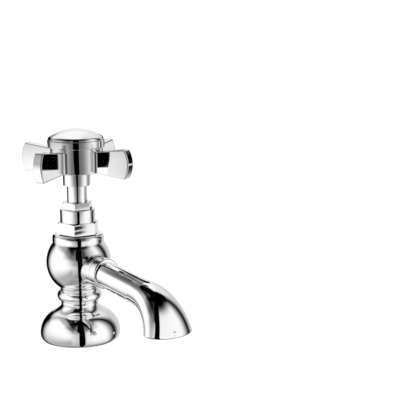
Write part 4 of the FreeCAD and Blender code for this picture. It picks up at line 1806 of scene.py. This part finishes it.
@dataclass
class Studio:
    """The pale floor, the soft boxes round the tap and the camera.

    Cards are placed by their distance to the right of the tap's axis ("across"), from the axis
    towards the camera ("ahead") and over the deck ("up"), in mm. Their looks ease between such
    distances, and the sky's between directions in degrees.

    Attributes:
        camera_mm: The camera's place.
        heading_deg: Its heading from +Y towards +X.
        pitch_deg: How far it looks down.
        lens_mm: Its lens.
        sensor_mm: Its sensor's width.
        white: Strength at which the background shows pure white.
        box_strength: Strength of the soft boxes.
        left_mm: Where the white card on the left stands, across.
        left_back_mm: Its rear edge, ahead.
        left_front_mm: Its front edge, ahead.
        left_low_mm: Its lower edge.
        left_top_mm: Its upper edge.
        slit_ahead_mm: Where the dark slit stands, ahead.
        slit_mm: Its middle, across.
        slit_half_mm: Half of its width.
        slit_lean_mm: How far its left edge moves out at the height of the handle.
        slit_soft_mm: Width of its soft edges.
        slit_low_mm: Its lower end.
        slit_top_mm: Its upper end.
        striped_sides_mm: Left and right edge of the striped flag beside the slit, across.
        striped_heights_mm: Its lower and upper edge.
        rear_ahead_mm: Where the flag behind the handle stands, ahead.
        rear_sides_mm: Its left and right edge, across.
        rear_heights_mm: Its lower and upper edge.
        net_mm: Distance of the grey net from the axis.
        net_foot_mm: Its foot.
        net_top_mm: Its top.
        net_turns_deg: Its left and right edge, from straight ahead.
        net_steps: Faces round it.
        shade_mm: Height of the shade over the spout.
        shade_sides_mm: Its left and right edge, across.
        shade_reach_mm: Its rear and front edge, ahead.
        window_deg: Direction of the small window, to the right of the camera's and up.
        screen_mm: Radius of the screen that hides the tail from reflections.
        screen_low_mm: Its foot.
        screen_top_mm: Its top.
        floor_half_m: Half of the floor's width.
    """

    camera_mm: tuple[float, float, float] = (-324.6, -510.9, 202.78)
    heading_deg: float = 40.0
    pitch_deg: float = 11.4157
    lens_mm: float = 86.71
    sensor_mm: float = 36.0
    white: float = 1.2
    box_strength: float = 1.16
    left_mm: float = -85.0
    left_back_mm: float = -74.0
    left_front_mm: float = 260.0
    left_low_mm: float = -160.0
    left_top_mm: float = 335.0
    slit_ahead_mm: float = 139.0
    slit_mm: float = 9.7
    slit_half_mm: float = 21.0
    slit_lean_mm: float = 18.0
    slit_soft_mm: float = 3.0
    slit_low_mm: float = -700.0
    slit_top_mm: float = 420.0
    striped_sides_mm: Point = (103.0, 127.0)
    striped_heights_mm: Point = (27.0, 54.0)
    rear_ahead_mm: float = -56.0
    rear_sides_mm: Point = (18.0, 60.0)
    rear_heights_mm: Point = (84.0, 140.0)
    net_mm: float = 102.0
    net_foot_mm: float = -50.0
    net_top_mm: float = 420.0
    net_turns_deg: Point = (-85.0, 91.0)
    net_steps: int = 48
    shade_mm: float = 70.0
    shade_sides_mm: Point = (-62.0, 76.0)
    shade_reach_mm: Point = (-10.0, 84.0)
    window_deg: Point = (109.2, -8.7)
    screen_mm: float = 21.0
    screen_low_mm: float = -50.0
    screen_top_mm: float = -0.5
    floor_half_m: float = 3.0

    def __post_init__(self) -> None:
        """Works out the level directions towards the camera and to its right."""
        self.toward = Vector((self.camera_mm[0], self.camera_mm[1], 0.0)).normalized()
        self.right = Vector((-self.toward.y, self.toward.x, 0.0))

    def at(self, across: float, ahead: float, up: float) -> Vector:
        """A place in metres, from its three distances in mm."""
        return (self.right * across + self.toward * ahead + Vector((0, 0, up))) * MM

    def camera(self) -> None:
        """Makes the camera."""
        data = bpy.data.cameras.new("camera")
        data.lens = self.lens_mm
        data.sensor_width = self.sensor_mm
        data.clip_start = 0.01
        data.clip_end = 50.0
        made = bpy.data.objects.new("camera", data)
        made.location = Vector(self.camera_mm) * MM
        turns = (90.0 - self.pitch_deg, 0.0, -self.heading_deg)
        made.rotation_euler = tuple(math.radians(turn) for turn in turns)
        bpy.context.scene.collection.objects.link(made)
        bpy.context.scene.camera = made

    @staticmethod
    def sky(phi: Sock, rise: Sock) -> Sock:
        """The soft boxes round the tap, with the dark gaps between them.

        Args:
            phi: The direction's angle to the right of the camera's, in degrees.
            rise: Its angle over the horizon, in degrees.

        Returns:
            The brightness from 0 to 1 in that direction.
        """
        left_roof = rise.ease(78.0, 18.0)
        right_roof = rise.ease(74.0, 46.0)
        front = left_roof + (right_roof - left_roof) * phi.ease(-25.0, -12.0)
        front = front * phi.ease(113.0, 74.0) * (1.0 - phi.ease(-116.0, -140.0))
        under_top = rise.ease(86.0, 81.0)
        higher = 0.14 * rise.ease(24.0, 40.0)
        right_rear = 0.62 * phi.ease(112.0, 140.0) + 0.18 * phi.ease(150.0, 178.0)
        right_rear = (right_rear + higher * phi.ease(112.0, 130.0)) * under_top
        left_rear = (0.8 + higher) * phi.ease(-116.0, -160.0) * under_top
        ground = 0.3 + 0.7 * rise.ease(-64.0, -2.0)
        boxes = (front + left_rear + right_rear).least(1.0).least(ground)
        gap = phi.ease(-98.0, -118.0) * (1.0 - phi.ease(-162.0, -172.0))
        gap = gap * rise.ease(30.0, 18.0) * rise.ease(-62.0, -46.0)
        return boxes * (1.0 - gap)

    def softboxes(self) -> None:
        """Makes the world: white for the camera, soft boxes and a small window for all else."""
        world = bpy.data.worlds.new("soft_boxes")
        bpy.context.scene.world = world
        world.use_nodes = True
        kit = NodeKit(world.node_tree)
        x, y, z = kit.split(kit.add("ShaderNodeTexCoord", out="Generated"))
        ahead = x * self.toward.x + y * self.toward.y
        right = x * self.right.x + y * self.right.y
        phi, rise = right.bearing(ahead), z.arcsine()
        beside, above = abs(phi - self.window_deg[0]), abs(rise - self.window_deg[1])
        window = 0.9 * beside.ease(4.6, 2.6) * above.ease(3.0, 1.6)
        light = (self.box_strength * self.sky(phi, rise)).most(window)
        path = kit.add("ShaderNodeLightPath", out="Is Camera Ray")
        values = {0: path, 2: light, 3: self.white}
        seen = kit.add("ShaderNodeMix", {"data_type": "FLOAT"}, values)
        shell = kit.add("ShaderNodeBackground", values={"Color": (1, 1, 1, 1), "Strength": seen})
        kit.add("ShaderNodeOutputWorld", values={0: shell})

    def glow(self, name: str, look: Callable[[Place], Look]) -> bpy.types.Material:
        """A material that glows in one part and lets light through in the other.

        Args:
            name: The material's name.
            look: Gives its brightness and how solid it is at a place.

        Returns:
            The material.
        """
        made = bpy.data.materials.new(name)
        made.use_nodes = True
        kit = NodeKit(made.node_tree)
        x, y, z = kit.split(kit.add("ShaderNodeTexCoord", out="Object"))
        across = (x * self.right.x + y * self.right.y) / MM
        ahead = (x * self.toward.x + y * self.toward.y) / MM
        brightness, solid = look(Place(kit, across, ahead, z / MM))
        light = kit.add("ShaderNodeEmission", values={0: (1, 1, 1, 1), 1: brightness})
        clear = kit.add("ShaderNodeBsdfTransparent")
        mixed = kit.add("ShaderNodeMixShader", values={0: solid, 1: clear, 2: light})
        kit.add("ShaderNodeOutputMaterial", values={0: mixed})
        return made

    @staticmethod
    def hang(item: bpy.types.Object, material: bpy.types.Material) -> None:
        """Makes an object a stage piece that only reflections see.

        Args:
            item: The object.
            material: Its material.
        """
        item.data.materials.append(material)
        item.visible_camera = False
        item.visible_diffuse = False
        item.visible_shadow = False

    def card(
        self,
        name: str,
        look: Callable[[Place], Look],
        places: Sequence[tuple[float, float, float]],
    ) -> None:
        """A flat card that only reflections see.

        Args:
            name: Its name and its material's.
            look: Its brightness and solidity at a place.
            places: Its corners as (across, ahead, up).
        """
        mesh = bpy.data.meshes.new(name)
        mesh.from_pydata([tuple(self.at(*place)) for place in places], [], [(0, 1, 2, 3)])
        self.hang(linked(name, mesh), self.glow(name, look))

    def facing_card(
        self,
        name: str,
        look: Callable[[Place], Look],
        ahead: float,
        sides: Point,
        heights: Point,
    ) -> None:
        """An upright card square to the camera's heading.

        Args:
            name: Its name and its material's.
            look: Its brightness and solidity at a place.
            ahead: Where it stands, ahead.
            sides: Its left and right edge, across.
            heights: Its lower and upper edge.
        """
        (left, right), (low, high) = sides, heights
        around = ((left, low), (right, low), (right, high), (left, high))
        self.card(name, look, [(across, ahead, up) for across, up in around])

    @staticmethod
    def left_look(place: Place) -> Look:
        """The white card on the left, lit less at its foot and above its soft top.

        Args:
            place: The place on it.

        Returns:
            Its brightness and its solidity.
        """
        level = 0.03 + 0.42 * place.up.ease(205.0, 140.0) + 0.55 * place.up.ease(126.0, 92.0)
        brightness = (0.5 + 0.66 * place.up.ease(-40.0, 34.0)) * level
        solid = place.up.ease(330.0, 270.0) * place.up.ease(-160.0, -60.0)
        return brightness, solid * place.ahead.ease(-72.0, -6.0) * place.ahead.ease(258.0, 130.0)

    def slit_look(self, place: Place) -> Look:
        """The dark slit between the soft boxes, through which the camera looks.

        Args:
            place: The place on it.

        Returns:
            Its brightness and its solidity.
        """
        soft, lean = self.slit_soft_mm, place.up.ease(70.0, 98.0)
        left = self.slit_mm - self.slit_half_mm - self.slit_lean_mm * lean
        right = self.slit_mm + self.slit_half_mm
        from_left = (place.across - left).most(0.0).least(soft)
        from_right = (right - place.across).most(0.0).least(soft)
        return 0.0, (from_left * from_right / soft**2).least(1.0)

    @staticmethod
    def striped_look(place: Place) -> Look:
        """The striped flag far on the right, which the hexagons' right faces show.

        Args:
            place: The place on it.

        Returns:
            Its brightness and its solidity.
        """
        upper = abs(place.up - 34.7).ease(2.1, 1.2)
        lower = abs(place.up - 30.8).ease(1.7, 0.9)
        stripes = upper.most(lower) * place.across.ease(121.0, 111.0)
        half_dark = 0.5 * place.up.ease(46.8, 49.2)
        return 0.0, stripes.most(half_dark) * place.across.ease(104.0, 106.0)

    @staticmethod
    def rear_look(place: Place) -> Look:
        """The black flag behind the handle, which draws the dark edge on its right.

        Args:
            place: The place on it.

        Returns:
            Its brightness and its solidity.
        """
        solid = place.across.ease(20.0, 28.0) * place.across.ease(58.0, 50.0)
        return 0.02, place.up.ease(86.0, 94.0) * solid

    @staticmethod
    def net_look(place: Place) -> Look:
        """The grey net in front of the tap, which thins to both sides and downwards.

        Args:
            place: The place on it.

        Returns:
            Its brightness and its solidity.
        """
        up = place.up
        turn = place.across.bearing(place.ahead) - 3.0
        high = up.ease(60.0, 92.0)
        middle = 24.0 + 6.0 * up.ease(30.0, 60.0) + 16.0 * high + 20.0 * up.ease(140.0, 200.0)
        span = 20.0 + 12.0 * high
        share = ((abs(turn) - middle + span) / (span * 2.0)).most(0.0).least(1.0)
        thin = share * share * (3.0 - 2.0 * share)
        depth = 0.45 + 0.25 * up.ease(30.0, 58.0) + 0.14 * high + 0.15 * up.ease(150.0, 200.0)
        pale = 1.0 - 0.6 * turn.ease(6.0, 16.0) * (1.0 - up.ease(52.0, 66.0))
        return 0.0, depth * (1.0 - thin) * pale * (1.0 - place.behind())

    @staticmethod
    def shade_look(place: Place) -> Look:
        """The level shade over the spout, which only rays from below see.

        Args:
            place: The place on it.

        Returns:
            Its brightness and its solidity.
        """
        first = place.off_line((21.0, 50.0), (38.0, 69.0)).ease(9.0, 5.0)
        second = place.off_line((36.0, 69.0), (56.0, 69.0)).ease(9.0, 5.0)
        beside = (place.ahead - 35.0) * 0.545 - (place.across - 15.0) * 0.838
        grey = 0.42 * beside.ease(30.0, 16.0) + 0.25 * beside.ease(18.0, 10.0)
        grey = grey * beside.ease(-2.0, 4.0)
        grey = grey * place.ahead.ease(10.0, 26.0) * place.ahead.ease(66.0, 54.0)
        return 0.0, first.most(second).most(grey) * place.behind()

    @staticmethod
    def screen_look(place: Place) -> Look:
        """The even screen round the tail, with its brightness and its solidity."""
        return 0.6, 1.0

    def cards(self) -> None:
        """Hangs the flat cards round the tap."""
        left, back, front = self.left_mm, self.left_back_mm, self.left_front_mm
        low, top = self.left_low_mm, self.left_top_mm
        around = ((back, low), (front, low), (front, top), (back, top))
        self.card("left_card", self.left_look, [(left, ahead, up) for ahead, up in around])
        half, ahead = self.slit_half_mm + self.slit_soft_mm, self.slit_ahead_mm
        sides = (self.slit_mm - half - self.slit_lean_mm, self.slit_mm + half)
        heights = (self.slit_low_mm, self.slit_top_mm)
        self.facing_card("slit", self.slit_look, ahead, sides, heights)
        sides, heights = self.striped_sides_mm, self.striped_heights_mm
        self.facing_card("striped_flag", self.striped_look, ahead, sides, heights)
        ahead, sides, heights = self.rear_ahead_mm, self.rear_sides_mm, self.rear_heights_mm
        self.facing_card("rear_flag", self.rear_look, ahead, sides, heights)

    def net(self) -> None:
        """Hangs the net, bent round the tap."""
        first, last = self.net_turns_deg
        wide = self.net_steps + 1
        turns = [math.radians(first + (last - first) * n / self.net_steps) for n in range(wide)]
        points = [
            tuple(self.at(self.net_mm * math.sin(turn), self.net_mm * math.cos(turn), up))
            for up in (self.net_foot_mm, self.net_top_mm)
            for turn in turns
        ]
        faces = [(n, n + wide, n + wide + 1, n + 1) for n in range(self.net_steps)]
        mesh = bpy.data.meshes.new("net")
        mesh.from_pydata(points, [], faces)
        self.hang(linked("net", mesh), self.glow("grey_net", self.net_look))

    def spout_shade(self) -> None:
        """Hangs the level shade over the spout."""
        (left, right), (back, front) = self.shade_sides_mm, self.shade_reach_mm
        around = ((left, front), (right, front), (right, back), (left, back))
        places = [(across, ahead, self.shade_mm) for across, ahead in around]
        self.card("spout_shade", self.shade_look, places)

    def floor(self) -> None:
        """Makes the pale floor, which reflections don't see."""
        material = bpy.data.materials.new("pale_floor")
        material.use_nodes = True
        kit = NodeKit(material.node_tree)
        paint = kit.add("ShaderNodeBsdfDiffuse", values={0: (0.85, 0.85, 0.85, 1.0)})
        light = kit.add("ShaderNodeEmission", values={0: (1, 1, 1, 1), 1: self.white})
        path = kit.add("ShaderNodeLightPath", out="Is Camera Ray")
        mixed = kit.add("ShaderNodeMixShader", values={0: path * 0.8, 1: paint, 2: light})
        kit.add("ShaderNodeOutputMaterial", values={0: mixed})
        half = self.floor_half_m
        corners = [(-half, -half, 0.0), (half, -half, 0.0), (half, half, 0.0), (-half, half, 0.0)]
        mesh = bpy.data.meshes.new("floor")
        mesh.from_pydata(corners, [], [(0, 1, 2, 3)])
        mesh.materials.append(material)
        floor = linked("floor", mesh)
        floor.visible_glossy = False

    def tail_screen(self) -> None:
        """Hangs the screen that hides the tail from reflections."""
        corners = [
            Corner(0.0, self.screen_low_mm),
            Corner(self.screen_mm, self.screen_low_mm),
            Corner(self.screen_mm, self.screen_top_mm),
            Corner(0.0, self.screen_top_mm),
        ]
        screen = lathe("tail_screen", corners, steps=64, closed=False)
        self.hang(screen, self.glow("tail_screen", self.screen_look))

    def build(self) -> None:
        """Sets up everything round the tap."""
        self.camera()
        self.softboxes()
        self.cards()
        self.net()
        self.spout_shade()
        self.floor()
        self.tail_screen()
        bpy.context.scene.view_settings.view_transform = "Standard"


def main() -> None:
    """Builds the tap and its studio."""
    logging.basicConfig(level=logging.INFO, format="%(name)s %(message)s")
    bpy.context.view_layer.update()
    for part in (Foot(), Tail(), Ball(), Spout(), Headwork(), Stem(), Handle(), Inside()):
        part.build()
        LOG.info("%s done", type(part).__name__)
    Studio().build()


if __name__ == "__main__":
    main()
